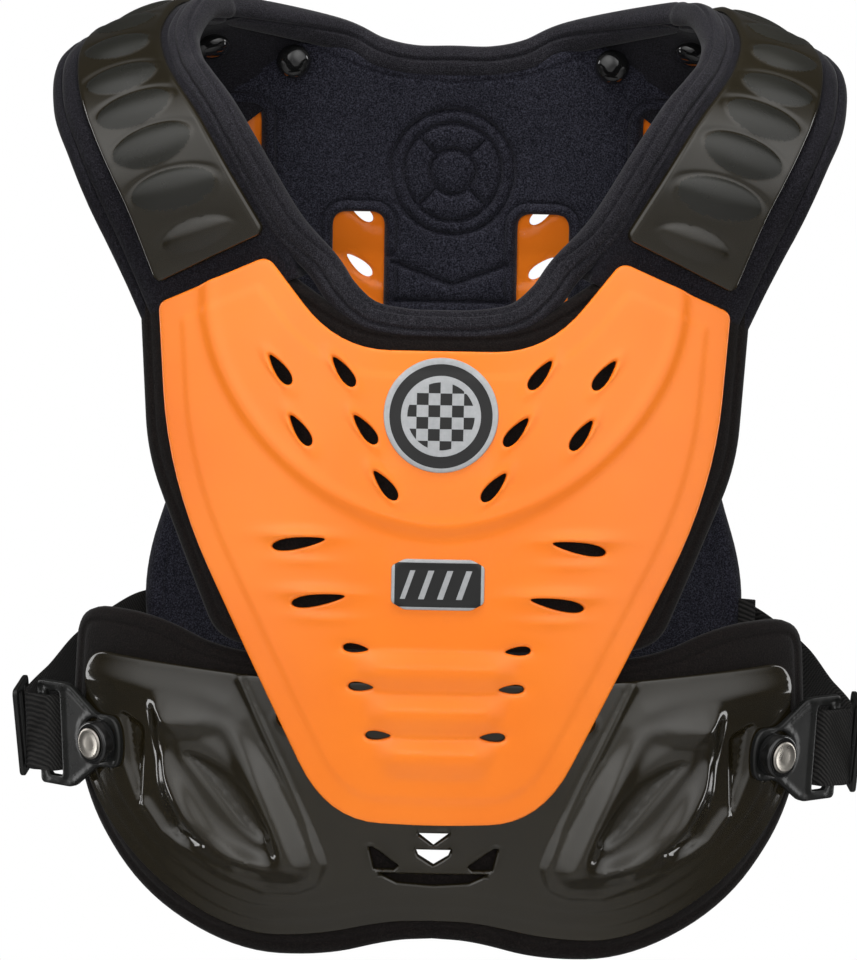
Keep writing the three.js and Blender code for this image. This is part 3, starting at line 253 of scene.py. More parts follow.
def beside(line, closed, width, spacing):
    """Rows of points along a line and to both sides of it."""
    ends = np.roll(line, -1, 0) if closed else line[1:]
    rows = []
    for a, b in zip(line, ends):
        count = max(1, round(np.linalg.norm(b - a) / spacing))
        along = a + (b - a) * (np.arange(count) / count)[:, None]
        normal = np.array([a[1] - b[1], b[0] - a[0]]) / np.linalg.norm(b - a)
        rows += [along + normal * offset * width for offset in (0, 1, -1, 2, -2)]
    return np.concatenate(rows)


def flat_sheet(outline, holes, place, outer, inner, step, rim=(1.0, 0.6), rings=(), steps=(), creases=()):
    """A closed shell over a flat outline with holes. place turns flat points and a lift into space. rim is
    the rounding of the outer and inner edges. rings are distances from a hole, and steps distances from
    the outline, that need points, as do the creases: rows of a line, whether it is closed and its width."""
    loops = [divided(outline, step)] + [divided(hole, step) for hole in holes]
    low, high = outline.min(0), outline.max(0)
    rows = np.arange(low[1], high[1] + step, step * 0.866)
    columns = np.arange(low[0], high[0] + step, step)
    grid = np.concatenate([np.stack([columns + step / 2 * (j % 2), np.full(len(columns), y)], 1)
                           for j, y in enumerate(rows)])

    def keep(points, least):
        points = points[inside(loops[0], points)]
        for hole in loops[1:]:
            points = points[~inside(hole, points)]
        edge = np.min([distance_to(loop, points) for loop in loops], axis=0)
        return points[edge > least]

    widest = max(rim)
    placed = np.concatenate(loops)
    for i, loop in enumerate(loops):
        for distance in (0.134 * widest, 0.5 * widest, widest):
            ring = keep(moved_in(loop, -distance if i else distance), distance * 0.8)
            placed = np.concatenate([placed, ring])
    for i, loop in enumerate(loops):
        for distance in rings if i else steps:
            ring = keep(moved_in(loop, -distance if i else distance), distance * 0.8)
            placed = np.concatenate([placed, spaced(ring, placed, 0.35 * step)])
    for line, closed, width in creases:
        rows = keep(beside(line, closed, width, 0.7 * step), widest)
        placed = np.concatenate([placed, spaced(rows, placed, 0.45 * width)])
    inner_grid = keep(grid, widest + step * 0.45)
    points = np.concatenate([placed, spaced(inner_grid, placed, 0.5 * step)])
    edges = []
    start = 0
    for loop in loops:
        count = len(loop)
        edges += [(start + k, start + (k + 1) % count) for k in range(count)]
        start += count
    made, _, faces, *_ = delaunay_2d_cdt([Vector(p) for p in points], edges, [], 0, 1e-4)
    flat = np.array([list(p) for p in made])
    faces = np.array([list(f) for f in faces])
    middle = flat[faces].mean(1)
    shown = inside(loops[0], middle)
    for hole in loops[1:]:
        shown &= ~inside(hole, middle)
    a, b, c = (flat[faces[:, k]] for k in range(3))
    area = (b[:, 0] - a[:, 0]) * (c[:, 1] - a[:, 1]) - (b[:, 1] - a[:, 1]) * (c[:, 0] - a[:, 0])
    faces = faces[shown & (np.abs(area) > 1e-6)]
    edge = distance_to(loops[0], flat)
    hole_edge = np.full(len(flat), 1e3)
    for hole in loops[1:]:
        hole_edge = np.minimum(hole_edge, distance_to(hole, flat))
    nearest = np.minimum(edge, hole_edge)

    def drop(radius):
        return radius - np.sqrt(np.maximum(radius**2 - (radius - np.minimum(nearest, radius)) ** 2, 0))

    x, z = flat.T
    top = place(x, z, outer(x, z, edge, hole_edge) - drop(rim[0]))
    bottom = place(x, z, inner(x, z, edge, hole_edge) + drop(rim[1]))
    count = len(flat)
    sides = {}
    for f in faces:
        for k in range(3):
            sides[(f[k], f[(k + 1) % 3])] = True
    walls = [(q, p, p + count, q + count) for p, q in sides if (q, p) not in sides]
    every = [tuple(f) for f in faces] + [tuple(f[::-1] + count) for f in faces] + walls
    used = sorted({int(v) for f in every for v in f})
    number = {v: k for k, v in enumerate(used)}
    points = np.concatenate([top, bottom])[used]
    return points, [[number[int(v)] for v in f] for f in every]


def loft(sections, ring=False):
    """A closed body through sections of equally many points."""
    sections = np.asarray(sections)
    count, size = sections.shape[:2]
    faces = []
    for s in range(count if ring else count - 1):
        n = (s + 1) % count
        for i in range(size):
            j = (i + 1) % size
            faces.append((s * size + i, s * size + j, n * size + j, n * size + i))
    if not ring:
        faces.append(tuple(range(size))[::-1])
        faces.append(tuple((count - 1) * size + i for i in range(size)))
    return sections.reshape(-1, 3), faces


def turned(profile, origin, axis, steps=48):
    """A body of revolution from pairs of radius and height, whose first and last radius are nought."""
    axis = unit(np.asarray(axis, float))
    first = unit(np.cross(axis, [0.3, 0.2, 1.0]))
    second = np.cross(axis, first)
    points, faces = [], []
    for k in range(steps):
        angle = 2 * np.pi * k / steps
        away = first * np.cos(angle) + second * np.sin(angle)
        points += [origin + away * r + axis * h for r, h in profile[1:-1]]
    size = len(profile) - 2
    low, high = len(points), len(points) + 1
    points += [origin + axis * profile[0][1], origin + axis * profile[-1][1]]
    for k in range(steps):
        a, b = k * size, (k + 1) % steps * size
        faces.append((low, b, a))
        faces += [(a + i, b + i, b + i + 1, a + i + 1) for i in range(size - 1)]
        faces.append((a + size - 1, b + size - 1, high))
    return points, faces


def mirrored(points):
    return np.asarray(points) * [-1, 1, 1]


# Materials
def new_material(name, colour, roughness):
    material = bpy.data.materials.new(name)
    material.use_nodes = True
    shader = material.node_tree.nodes["Principled BSDF"]
    shader.inputs["Base Color"].default_value = (*colour, 1)
    shader.inputs["Roughness"].default_value = roughness
    return material, shader


def node(material, kind, **inputs):
    made = material.node_tree.nodes.new(kind)
    for key, value in inputs.items():
        made.inputs[key.replace("_", " ")].default_value = value
    return made


def link(material, out, into):
    material.node_tree.links.new(out, into)


def place_nodes(material):
    return material.node_tree.nodes.new("ShaderNodeTexCoord").outputs["Object"]


def math_node(material, operation, a, b=None):
    made = material.node_tree.nodes.new("ShaderNodeMath")
    made.operation = operation
    for socket, value in zip(made.inputs, (a, b)):
        if value is None:
            continue
        if isinstance(value, (int, float)):
            socket.default_value = value
        else:
            link(material, value, socket)
    return made.outputs[0]


def colour_mix(material, share, dark, light):
    mix = material.node_tree.nodes.new("ShaderNodeMix")
    mix.data_type = "RGBA"
    link(material, share, mix.inputs["Factor"])
    for socket, value in ((mix.inputs[6], dark), (mix.inputs[7], light)):
        if isinstance(value, tuple):
            socket.default_value = (*value, 1)
        else:
            link(material, value, socket)
    return mix.outputs[2]


def noise_at(material, scale, detail=3.0, roughness=0.6):
    noise = node(material, "ShaderNodeTexNoise", Scale=scale, Detail=detail, Roughness=roughness)
    link(material, place_nodes(material), noise.inputs["Vector"])
    return noise.outputs["Fac"]


def ranged(material, value, low, high, to_low, to_high):
    made = node(material, "ShaderNodeMapRange")
    link(material, value, made.inputs["Value"])
    for key, number in (("From Min", low), ("From Max", high), ("To Min", to_low), ("To Max", to_high)):
        made.inputs[key].default_value = number
    return made.outputs[0]


def bumped(material, shader, height, distance, strength=1.0):
    bump = node(material, "ShaderNodeBump", Strength=strength, Distance=distance)
    link(material, height, bump.inputs["Height"])
    link(material, bump.outputs[0], shader.inputs["Normal"])


def moulded_plastic(name, dark, light, roughness, coat, grain=0.00003):
    """Moulded plastic with faint clouding, uneven gloss and a slight orange peel."""
    material, shader = new_material(name, light, roughness)
    clouds = ranged(material, noise_at(material, 9.0), 0.35, 0.65, 0, 1)
    link(material, colour_mix(material, clouds, dark, light), shader.inputs["Base Color"])
    gloss = ranged(material, noise_at(material, 60.0, 2.0), 0.3, 0.8, roughness * 0.85, roughness * 1.2)
    link(material, gloss, shader.inputs["Roughness"])
    bumped(material, shader, noise_at(material, 260.0, 2.0), grain)
    shader.inputs["Coat Weight"].default_value = coat
    shader.inputs["Coat Roughness"].default_value = 0.05
    return material


def knit_fabric(name, dark, light, scale=1300.0, depth=0.00025):
    """Fine knit over foam: speckled yarn, slight pilling and a soft sheen."""
    material, shader = new_material(name, light, 0.92)
    speckle = noise_at(material, scale, 2.0, 0.7)
    clouds = ranged(material, noise_at(material, 35.0), 0.3, 0.7, -0.015, 0.015)
    share = ranged(material, math_node(material, "ADD", speckle, clouds), 0.42, 0.74, 0, 1)
    link(material, colour_mix(material, share, dark, light), shader.inputs["Base Color"])
    loops = node(material, "ShaderNodeTexVoronoi", Scale=scale * 0.6)
    link(material, place_nodes(material), loops.inputs["Vector"])
    bumped(material, shader, math_node(material, "ADD", loops.outputs["Distance"], speckle), depth, 0.7)
    shader.inputs["Sheen Weight"].default_value = 0.06
    shader.inputs["Sheen Roughness"].default_value = 0.4
    shader.inputs["Specular IOR Level"].default_value = 0.25
    return material


def webbing_weave(name):
    """Elastic webbing: diagonal yarns across close ribs."""
    material, shader = new_material(name, (0.01, 0.01, 0.01), 0.8)
    ribs = node(material, "ShaderNodeTexWave", Scale=260.0, Distortion=1.5)
    ribs.bands_direction = "DIAGONAL"
    link(material, place_nodes(material), ribs.inputs["Vector"])
    link(material, colour_mix(material, ribs.outputs["Fac"], (0.004, 0.004, 0.004), (0.022, 0.021, 0.02)),
         shader.inputs["Base Color"])
    bumped(material, shader, ribs.outputs["Fac"], 0.0003)
    shader.inputs["Specular IOR Level"].default_value = 0.3
    return material


def brushed_metal(name):
    material, shader = new_material(name, (0.62, 0.58, 0.52), 0.25)
    shader.inputs["Metallic"].default_value = 1
    link(material, ranged(material, noise_at(material, 120.0, 1.0), 0.3, 0.7, 0.26, 0.3), shader.inputs["Roughness"])
    return material


def badge_foil(name, pattern):
    """Satin foil with a black print, whose mask comes from pattern(material, x, z) in metres."""
    material, shader = new_material(name, (0.5, 0.5, 0.5), 0.32)
    parts = material.node_tree.nodes.new("ShaderNodeSeparateXYZ")
    link(material, place_nodes(material), parts.inputs[0])
    ink = pattern(material, parts.outputs[0], parts.outputs[2])
    grain = colour_mix(material, noise_at(material, 400.0), (0.36, 0.37, 0.38), (0.52, 0.53, 0.54))
    link(material, colour_mix(material, ink, grain, (0.012, 0.012, 0.012)), shader.inputs["Base Color"])
    link(material, ranged(material, ink, 0, 1, 0.45, 0.0), shader.inputs["Metallic"])
    bumped(material, shader, noise_at(material, 800.0), 0.00002)
    return material


BADGE_MIDDLE = CHEST_TOP - 0.273 * CHEST_HEIGHT
LOWER_BADGE_MIDDLE = CHEST_TOP - 0.569 * CHEST_HEIGHT


def target_print(material, x, z):
    """A plain ring round a chequered disc."""
    up = math_node(material, "SUBTRACT", z, BADGE_MIDDLE * MM)
    square = math_node(material, "ADD", math_node(material, "POWER", x, 2.0), math_node(material, "POWER", up, 2.0))
    radius = math_node(material, "SQRT", square)

    def between(low, high):
        above = math_node(material, "GREATER_THAN", radius, low * MM)
        return math_node(material, "MULTIPLY", above, math_node(material, "LESS_THAN", radius, high * MM))

    columns = math_node(material, "PINGPONG", math_node(material, "ADD", x, 1.0), 0.0056)
    rows = math_node(material, "PINGPONG", math_node(material, "ADD", up, 1.0), 0.0056)
    odd = math_node(material, "GREATER_THAN", columns, 0.0028)
    even = math_node(material, "GREATER_THAN", rows, 0.0028)
    chequer = math_node(material, "ABSOLUTE", math_node(material, "SUBTRACT", odd, even))
    centre = math_node(material, "MULTIPLY", chequer, between(0, 16))
    return math_node(material, "MAXIMUM", centre, between(19, 24.5))


def barred_print(material, x, z):
    """Slanted bars on a dark plate with a bare edge."""
    up = math_node(material, "SUBTRACT", z, LOWER_BADGE_MIDDLE * MM)
    wide = math_node(material, "LESS_THAN", math_node(material, "ABSOLUTE", x), 0.0205)
    tall = math_node(material, "LESS_THAN", math_node(material, "ABSOLUTE", up), 0.0105)
    plate = math_node(material, "MULTIPLY", wide, tall)
    lean = math_node(material, "SUBTRACT", x, math_node(material, "MULTIPLY", up, 0.35))
    bars = math_node(material, "PINGPONG", math_node(material, "ADD", lean, 1.0), 0.0045)
    bare = math_node(material, "GREATER_THAN", bars, 0.0031)
    within = math_node(material, "LESS_THAN", math_node(material, "ABSOLUTE", up), 0.0068)
    short = math_node(material, "LESS_THAN", math_node(material, "ABSOLUTE", lean), 0.0155)
    stripes = math_node(material, "MULTIPLY", bare, math_node(material, "MULTIPLY", within, short))
    return math_node(material, "SUBTRACT", plate, stripes)


ORANGE = moulded_plastic("orange_plastic", (0.88, 0.19, 0.012), (0.91, 0.215, 0.015), 0.2, 0.4)
SMOKE = moulded_plastic("smoke_plastic", (0.0115, 0.009, 0.0044), (0.0158, 0.0125, 0.0062), 0.1, 0.7, 0.00001)
OVAL = moulded_plastic("dull_smoke_plastic", (0.012, 0.012, 0.0098), (0.019, 0.0186, 0.0153), 0.3, 0.2, 0.00001)
BLACK = moulded_plastic("black_plastic", (0.006, 0.0062, 0.006), (0.009, 0.0092, 0.0085), 0.3, 0.1, 0.00001)
GLOSS_BLACK = moulded_plastic("gloss_black_plastic", (0.004, 0.004, 0.004), (0.006, 0.006, 0.006), 0.1, 1.0)
KNIT = knit_fabric("liner_knit", (0.003, 0.003, 0.005), (0.044, 0.044, 0.06), 1300.0, 0.0002)
DARK_KNIT = knit_fabric("front_liner_knit", (0.0022, 0.0018, 0.0017), (0.015, 0.0115, 0.0105), 1500.0, 0.00015)
PAD_KNIT = knit_fabric("pad_knit", (0.0028, 0.0026, 0.0035), (0.024, 0.023, 0.029), 1500.0, 0.00015)
PIPING = knit_fabric("band_knit", (0.005, 0.0048, 0.006), (0.044, 0.042, 0.05), 1700.0, 0.00015)
WEBBING = webbing_weave("strap_webbing")
NICKEL = brushed_metal("snap_nickel")
ROUND_PRINT = badge_foil("round_badge_foil", target_print)
BARRED_PRINT = badge_foil("lower_badge_foil", barred_print)


# Chest plate
CHEST_OUTLINE = [(0, 0.16, 0), (0.36, 0.16, 0.12), (0.61, 0, 0.02), (1, 0.09, 0.015), (0.95, 0.4, 0.17),
                 (0.37, 0.995, 0.11), (0, 1, 0.05)]
CHEST_VENTS = [(0.336, 0.2, 52), (0.555, 0.2, 52), (0.257, 0.3, 50), (0.48, 0.305, 54), (0.185, 0.397, 50)]
CHEST_LOUVRES = [(0.482, 0.503, 170), (0.41, 0.602, 170)]
CHEST_NOTCHES = [(0.279, 0.685, 184), (0.259, 0.753, 182), (0.197, 0.839, 180)]
CHEST_SIZE = (CHEST_WIDTH, CHEST_HEIGHT, CHEST_TOP)
RIB_TOP, RIB_PITCH, RIB_COUNT = 0.685, 0.0775, 3

VENT_LENGTH, VENT_WIDTH = 17, 4.9
vents = paired_drops(CHEST_VENTS, *CHEST_SIZE, VENT_LENGTH, VENT_WIDTH)
louvres = paired_drops(CHEST_LOUVRES, *CHEST_SIZE, 26, 4.6)
notches = paired_drops(CHEST_NOTCHES, *CHEST_SIZE, 12, 3.5)


def local_to(drop, x, z):
    """Places along and off a drop's line, as shares of its half length and half width."""
    x0, z0, length, width, tilt = drop
    along = ((x - x0) * math.cos(tilt) + (z - z0) * math.sin(tilt)) / (length / 2)
    off = (-(x - x0) * math.sin(tilt) + (z - z0) * math.cos(tilt)) / (width / 2)
    return along, off


def hill(distance, width):
    return np.exp(-((distance / width) ** 2))


def chest_relief(x, z, edge):
    across = np.abs(x) / (CHEST_WIDTH / 2)
    down = (CHEST_TOP - z) / CHEST_HEIGHT
    level = (across / 0.835) ** 1.8 + (np.maximum(down - 0.0743, 0) / 0.405) ** 1.8
    lift = 1.5 * (1 - smooth_step(0.9, 1.08, level)) + 0.9 * hill(level - 0.955, 0.06)
    lift += 0.7 * smooth_step(10.5, 13.5, edge)
    row = (down - RIB_TOP) / RIB_PITCH
    rib_end = 0.3 - 0.1 * row / RIB_COUNT
    within = ((row > 0) & (row < RIB_COUNT)) * (1 - smooth_step(rib_end - 0.09, rib_end, across))
    lift += 2.2 * within * np.abs(np.sin(np.pi * np.clip(row, 0, RIB_COUNT))) ** 1.3
    for drop in vents:
        along, off = local_to(drop, x, z)
        around = np.hypot(along, off)
        outboard = np.sign(drop[0]) * (x - drop[0]) - (z - drop[1]) * 0.6
        lift += 0.75 * hill(around - 1.35, 0.4) * (0.45 + 0.55 * smooth_step(-3, 5, outboard))
    for drop in louvres:
        along, off = local_to(drop, x, z)
        above = (z - drop[1]) / (drop[3] / 2)
        lift += 2.0 * hill(along * 0.8, 1.0) * hill(above - 1.5, 1.35) - 0.5 * hill(along, 0.9) * hill(above + 2.2, 0.8)
        lift += 0.5 * hill(along * 0.8, 0.9) * hill(above + 3.6, 1.0)
    for drop in notches:
        along, off = local_to(drop, x, z)
        lift -= 0.9 * hill(np.hypot(along * 0.8, off * 0.6), 1.1)
    return lift


def front_place(x, z, lift):
    return on_torso(FRONT, x, z, lift)


def back_place(x, z, lift):
    return on_torso(BACK, x, z, lift)


chest_loop = symmetric(CHEST_OUTLINE, *CHEST_SIZE)
chest_holes = [drop_shape(*drop) for drop in vents + louvres + notches]
points, faces = flat_sheet(
    chest_loop,
    chest_holes,
    front_place,
    lambda x, z, edge, hole: chest_relief(x, z, edge),
    lambda x, z, edge, hole: chest_relief(x, z, edge) - PLATE_WALL,
    step=2.0,
    rim=(1.3, 0.6),
    rings=(2.0, 3.0),
)
make_piece("chest_plate", points, faces, [ORANGE], "orange_shell")


# Badges lie on the chest plate and follow its relief
def badge(name, outline, material):
    shape = divided(outline, 1.5)
    seat = CLEARANCE

    def relief(x, z):
        return chest_relief(x, z, distance_to(chest_loop, np.stack([x, z], 1)))

    points, faces = flat_sheet(
        shape,
        [],
        front_place,
        lambda x, z, edge, hole: relief(x, z) + seat + 0.8 + 0.25 * hill(edge - 1.2, 0.8),
        lambda x, z, edge, hole: relief(x, z) + seat,
        step=2.0,
        rim=(0.4, 0.1),
    )
    make_piece(name, points, faces, [material], "badge_foil")


angles = np.linspace(0, 2 * np.pi, 90, endpoint=False)
badge("round_badge", np.stack([27 * np.cos(angles), BADGE_MIDDLE + 27 * np.sin(angles)], 1), ROUND_PRINT)
corner_shares = [(-0.5, -0.36), (-0.36, -0.5), (0.36, -0.5), (0.5, -0.36), (0.5, 0.36), (0.36, 0.5), (-0.36, 0.5),
                 (-0.5, 0.36)]
badge("lower_badge", rounded([(x * 44, LOWER_BADGE_MIDDLE + z * 24, 1.5) for x, z in corner_shares]), BARRED_PRINT)

# Belly plate. Its lobes, ridges and recesses are mirrored, so their places use the distance from the middle.
BELLY_OUTLINE = [(0, 0.02, 0), (0.5, 0.02, 0.05), (1.01, -0.03, 0.03), (1.01, 0.16, 0.04), (1.06, 0.36, 0.03),
                 (1, 0.63, 0.06), (0.83, 0.92, 0.08), (0.56, 1.13, 0.09), (0.33, 1.11, 0.07),
                 (0.13, 1.035, 0.06), (0, 1.03, 0)]
BELLY_SIZE = (BELLY_WIDTH, BELLY_HEIGHT, BELLY_TOP)


def belly_points(shares):
    return np.array([(a * BELLY_WIDTH / 2, BELLY_TOP - d * BELLY_HEIGHT) for a, d in shares])


def soft_loop(corners, size):
    return rounded([(x, z, size) for x, z in corners], 4)


LOBE = soft_loop(belly_points([(0.84, 0.1), (0.6, 0.16), (0.46, 0.36), (0.28, 0.8), (0.34, 0.93), (0.62, 0.9),
                               (0.76, 0.66)]), 16)
FIELD_LINE = np.array([(95, -306), (77, -343), (62, -374), (54, -395), (57, -404), (66, -408), (82, -409), (103, -402),
                       (123, -391), (134, -384), (143, -372)], float)
OUTER_RIDGE = np.array([(180, -311), (149, -313), (135, -315), (113, -318), (104, -321), (97, -328), (87, -348),
                        (73, -383), (69, -394)], float)
BASIN = soft_loop([(134, -333), (125, -329), (104, -328), (94, -338), (78, -371), (71, -391), (82, -397), (107, -388),
                   (130, -354)], 9)
WEDGE = soft_loop([(122, -343), (111, -345), (98, -352), (86, -365), (75, -380), (82, -385), (92, -378), (103, -365)],
                  5)
ISLAND = soft_loop([(132, -340), (107, -374), (73, -397), (92, -400), (109, -386), (131, -377), (138, -358)], 9)
TRIANGLE = soft_loop([(157, -327), (144, -333), (146, -372), (154, -352)], 4)
HOOKS = [
    soft_loop([(131, -380), (125, -388), (106, -389), (115, -384)], 3),
    soft_loop([(97, -394), (86, -396), (80, -401), (94, -400)], 3),
]
BELLY_VENTS = [
    [(-0.044, 0.65), (0.044, 0.65), (0, 0.7)],
    [(-0.049, 0.72), (0.049, 0.72), (0.042, 0.745), (0, 0.785), (-0.042, 0.745)],
    [(-0.15, 0.825), (0.15, 0.825), (0.1, 0.86), (0, 0.87), (-0.1, 0.86)],
]
BELLY_SIDE_VENT = [(0.1, 0.79), (0.17, 0.715), (0.18, 0.715), (0.165, 0.805), (0.11, 0.805)]
LINER_VENT = [(-0.055, 0.63), (0.055, 0.63), (0.055, 0.75), (0, 0.8), (-0.055, 0.75)]


def belly_relief(x, z, edge):
    here = np.stack([np.abs(x), z], 1)
    lift = 9 * smooth_step(-2, 16, depth_in(LOBE, here))
    lift += 1.7 * hill(distance_to(FIELD_LINE, here, closed=False), 2.3)
    lift += 2.4 * hill(distance_to(OUTER_RIDGE, here, closed=False), 7.5)
    lift -= 4.6 * smooth_step(-3, 8, depth_in(BASIN, here))
    lift -= 2.8 * smooth_step(-1.2, 4, depth_in(WEDGE, here))
    lift += 2.6 * smooth_step(-2, 8, depth_in(ISLAND, here))
    lift -= 3.0 * smooth_step(-1.2, 3, depth_in(TRIANGLE, here))
    for hook in HOOKS:
        lift -= 2.2 * smooth_step(-1.4, 2.4, depth_in(hook, here))
    low = smooth_step(-335, -365, z)
    lift += low * (0.7 * smooth_step(6.2, 7.8, edge) + 0.8 * smooth_step(14.2, 15.8, edge))
    return lift - 1.4 * low


belly_loop = symmetric(BELLY_OUTLINE, *BELLY_SIZE)
belly_holes = [belly_points(shares) for shares in BELLY_VENTS]
for side in (1, -1):
    belly_holes.append(belly_points(BELLY_SIDE_VENT) * [side, 1])
    hole_x, hole_z = belly_points([(0.415, 0.185)])[0]
    belly_holes.append(np.stack([side * hole_x + 4.4 * np.cos(angles[::4]), hole_z + 4.4 * np.sin(angles[::4])], 1))
points, faces = flat_sheet(
    belly_loop,
    belly_holes,
    front_place,
    lambda x, z, edge, hole: LINER_FACE + belly_relief(x, z, edge) + 0.6 * hill(hole - 1.4, 1.0),
    lambda x, z, edge, hole: LINER_FACE + belly_relief(x, z, edge) - PLATE_WALL,
    step=1.7,
    rim=(1.2, 0.5),
    rings=(2.0,),
    steps=(6.2, 7.0, 7.8, 14.2, 15.0, 15.8),
    creases=[(FIELD_LINE * [side, 1], False, 1.2) for side in (1, -1)]
    + [(corners * [side, 1], True, 1.2) for corners in (WEDGE, TRIANGLE) for side in (1, -1)],
)
make_piece("belly_plate", points, faces, [SMOKE], "smoke_shell")

# Foam liners: rounded edges and a pressed line inside the edge
CHEST_LINER_OUTLINE = [(0, 0.165, 0), (0.27, 0.165, 0.1), (0.53, 0.03, 0.01), (1.04, 0.12, 0.01), (1, 0.52, 0.06),
                       (0.75, 0.97, 0.03), (0.66, 1, 0.03), (0, 1, 0)]
BELLY_LINER_OUTLINE = [(0, -0.08, 0), (0.62, -0.07, 0.06), (0.84, -0.21, 0.06), (1.08, -0.21, 0.05), (1.1, 0.3, 0.05),
                       (1.05, 0.66, 0.06), (0.88, 1.01, 0.08), (0.58, 1.22, 0.1), (0.31, 1.21, 0.08),
                       (0.12, 1.13, 0.06), (0, 1.12, 0)]
BACK_LINER_OUTLINE = [(0, 0.01, 0), (0.25, 0, 0.05), (0.44, -0.04, 0.03), (0.9, 0.05, 0.03), (0.88, 0.3, 0.1),
                      (0.86, 0.62, 0.12), (1, 0.84, 0.08), (0.97, 0.98, 0.05), (0.45, 1, 0.05), (0, 1.02, 0.05)]
BACK_PLATE_OUTLINE = [(0, 0.06, 0), (0.3, 0.06, 0.05), (0.48, 0.02, 0.02), (0.83, 0.08, 0.03), (0.82, 0.32, 0.1),
                      (0.66, 0.78, 0.1), (0.44, 0.97, 0.06), (0, 0.97, 0.05)]
BACK_SIZE = (BACK_WIDTH, BACK_HEIGHT, BACK_TOP)


SEAM_LINES = (5.5, 6.5, 7.5)


def liner(name, outline, holes, place, face, wall, fabric, inner_relief=None, creases=()):
    def seam(edge):
        return 0.9 * hill(edge - 6.5, 0.9)

    def inner(x, z, edge, hole):
        relief = inner_relief(x, z, edge, hole) if inner_relief else 0
        return face - wall + seam(edge) + relief

    points, faces = flat_sheet(outline, holes, place, lambda x, z, edge, hole: face - seam(edge), inner, 2.5,
                               rim=(4.6, 4.6), rings=SEAM_LINES, steps=SEAM_LINES, creases=creases)
    return make_piece(name, points, faces, [fabric], "liner_fabric", sharp=80, pad_fill=0.8)


chest_liner_loop = symmetric(CHEST_LINER_OUTLINE, CHEST_LINER_WIDTH, CHEST_LINER_HEIGHT, CHEST_TOP)
liner("chest_liner", chest_liner_loop, [], front_place, LINER_FACE, LINER_WALL, DARK_KNIT)
belly_liner_loop = symmetric(BELLY_LINER_OUTLINE, *BELLY_SIZE)
belly_liner_face = LINER_FACE - PLATE_WALL - SHELL_GAP
liner("belly_liner", belly_liner_loop, [belly_points(LINER_VENT)], front_place, belly_liner_face, BELLY_LINER_WALL,
      DARK_KNIT)

# Back liner: pressed lines and a plain ringed emboss on the face towards the wearer
SLOTS = [(0.31, 0.25, 1.3), (0.72, 0.075, 1.15)]
EMBOSS_MIDDLE = (0.5, -64.5)
PRESSED_LINES = [
    np.array([(-31, -113), (1, -125), (33, -113)], float),
    np.array([(-42, -109), (-31, -109)], float),
    np.array([(33, -109), (44, -109)], float),
    np.array([(-42, -134), (44, -134)], float),
]
slot_loops = []
for across, down, height in SLOTS:
    for side in (1, -1):
        slot_x, slot_top = side * across * BACK_WIDTH / 2, BACK_TOP - down * BACK_HEIGHT
        slot_bottom = slot_top - height * 74
        slot_loops.append(rounded([(slot_x - 14, slot_bottom, 7.8), (slot_x + 14, slot_bottom, 7.8),
                                   (slot_x + 14, slot_top, 7.8), (slot_x - 14, slot_top, 7.8)]))


EMBOSS_RINGS = (33, 26, 12)
EMBOSS_SPOKES = [math.radians(a) for a in (45, 135, 225, 315)]
LINE_WIDTH = 1.5


def emboss_point(radius, angle):
    return EMBOSS_MIDDLE[0] + radius * math.cos(angle), EMBOSS_MIDDLE[1] + radius * math.sin(angle)


ring_loops = [np.array([emboss_point(r, a) for a in np.linspace(0, 2 * np.pi, 72, endpoint=False)])
              for r in EMBOSS_RINGS]
spoke_lines = [np.array([emboss_point(EMBOSS_RINGS[2], a), emboss_point(EMBOSS_RINGS[1], a)]) for a in EMBOSS_SPOKES]
pressed = [(line, False) for line in PRESSED_LINES + spoke_lines] + [(loop, True) for loop in ring_loops]


def back_inner_relief(x, z, edge, hole):
    here = np.stack([x, z], 1)
    lift = -2.2 * hill(hole - 3.0, 1.6) + 1.4 * hill(hole - 6.5, 0.9)
    nearest = np.min([distance_to(line, here, closed=closed) for line, closed in pressed], axis=0)
    return lift + 3.0 * hill(nearest, LINE_WIDTH)


back_liner_loop = symmetric(BACK_LINER_OUTLINE, *BACK_SIZE)
liner("back_liner", back_liner_loop, slot_loops, back_place, LINER_FACE, LINER_WALL, KNIT, back_inner_relief,
      creases=[(line, closed, 0.6 * LINE_WIDTH) for line, closed in pressed])

# Back plate
BACK_VENTS = [(0.3, 0.253, 40), (0.3, 0.343, 40), (0.3, 0.433, 40), (0.3, 0.523, 40), (0.55, 0.5, 40),
              (0.52, 0.6, 40), (0.3, 0.7, 40)]
back_vents = paired_drops(BACK_VENTS, *BACK_SIZE, VENT_LENGTH, VENT_WIDTH)


def back_relief(x, z, edge):
    across = np.abs(x) / (BACK_WIDTH / 2)
    down = (BACK_TOP - z) / BACK_HEIGHT
    lift = 3 * (1 - smooth_step(0.06, 0.2, across)) * smooth_step(0.06, 0.2, down) * (1 - smooth_step(0.82, 0.95, down))
    lift += 0.8 * smooth_step(9, 12.5, edge)
    for drop in back_vents:
        along, off = local_to(drop, x, z)
        lift += 0.7 * hill(np.hypot(along, off) - 1.35, 0.4)
    return lift


points, faces = flat_sheet(
    symmetric(BACK_PLATE_OUTLINE, *BACK_SIZE),
    [drop_shape(*drop) for drop in back_vents],
    back_place,
    lambda x, z, edge, hole: back_relief(x, z, edge),
    lambda x, z, edge, hole: back_relief(x, z, edge) - PLATE_WALL,
    step=2.6,
    rim=(1.3, 0.6),
    rings=(2.0, 3.0),
)
make_piece("back_plate", points, faces, [ORANGE], "orange_shell")


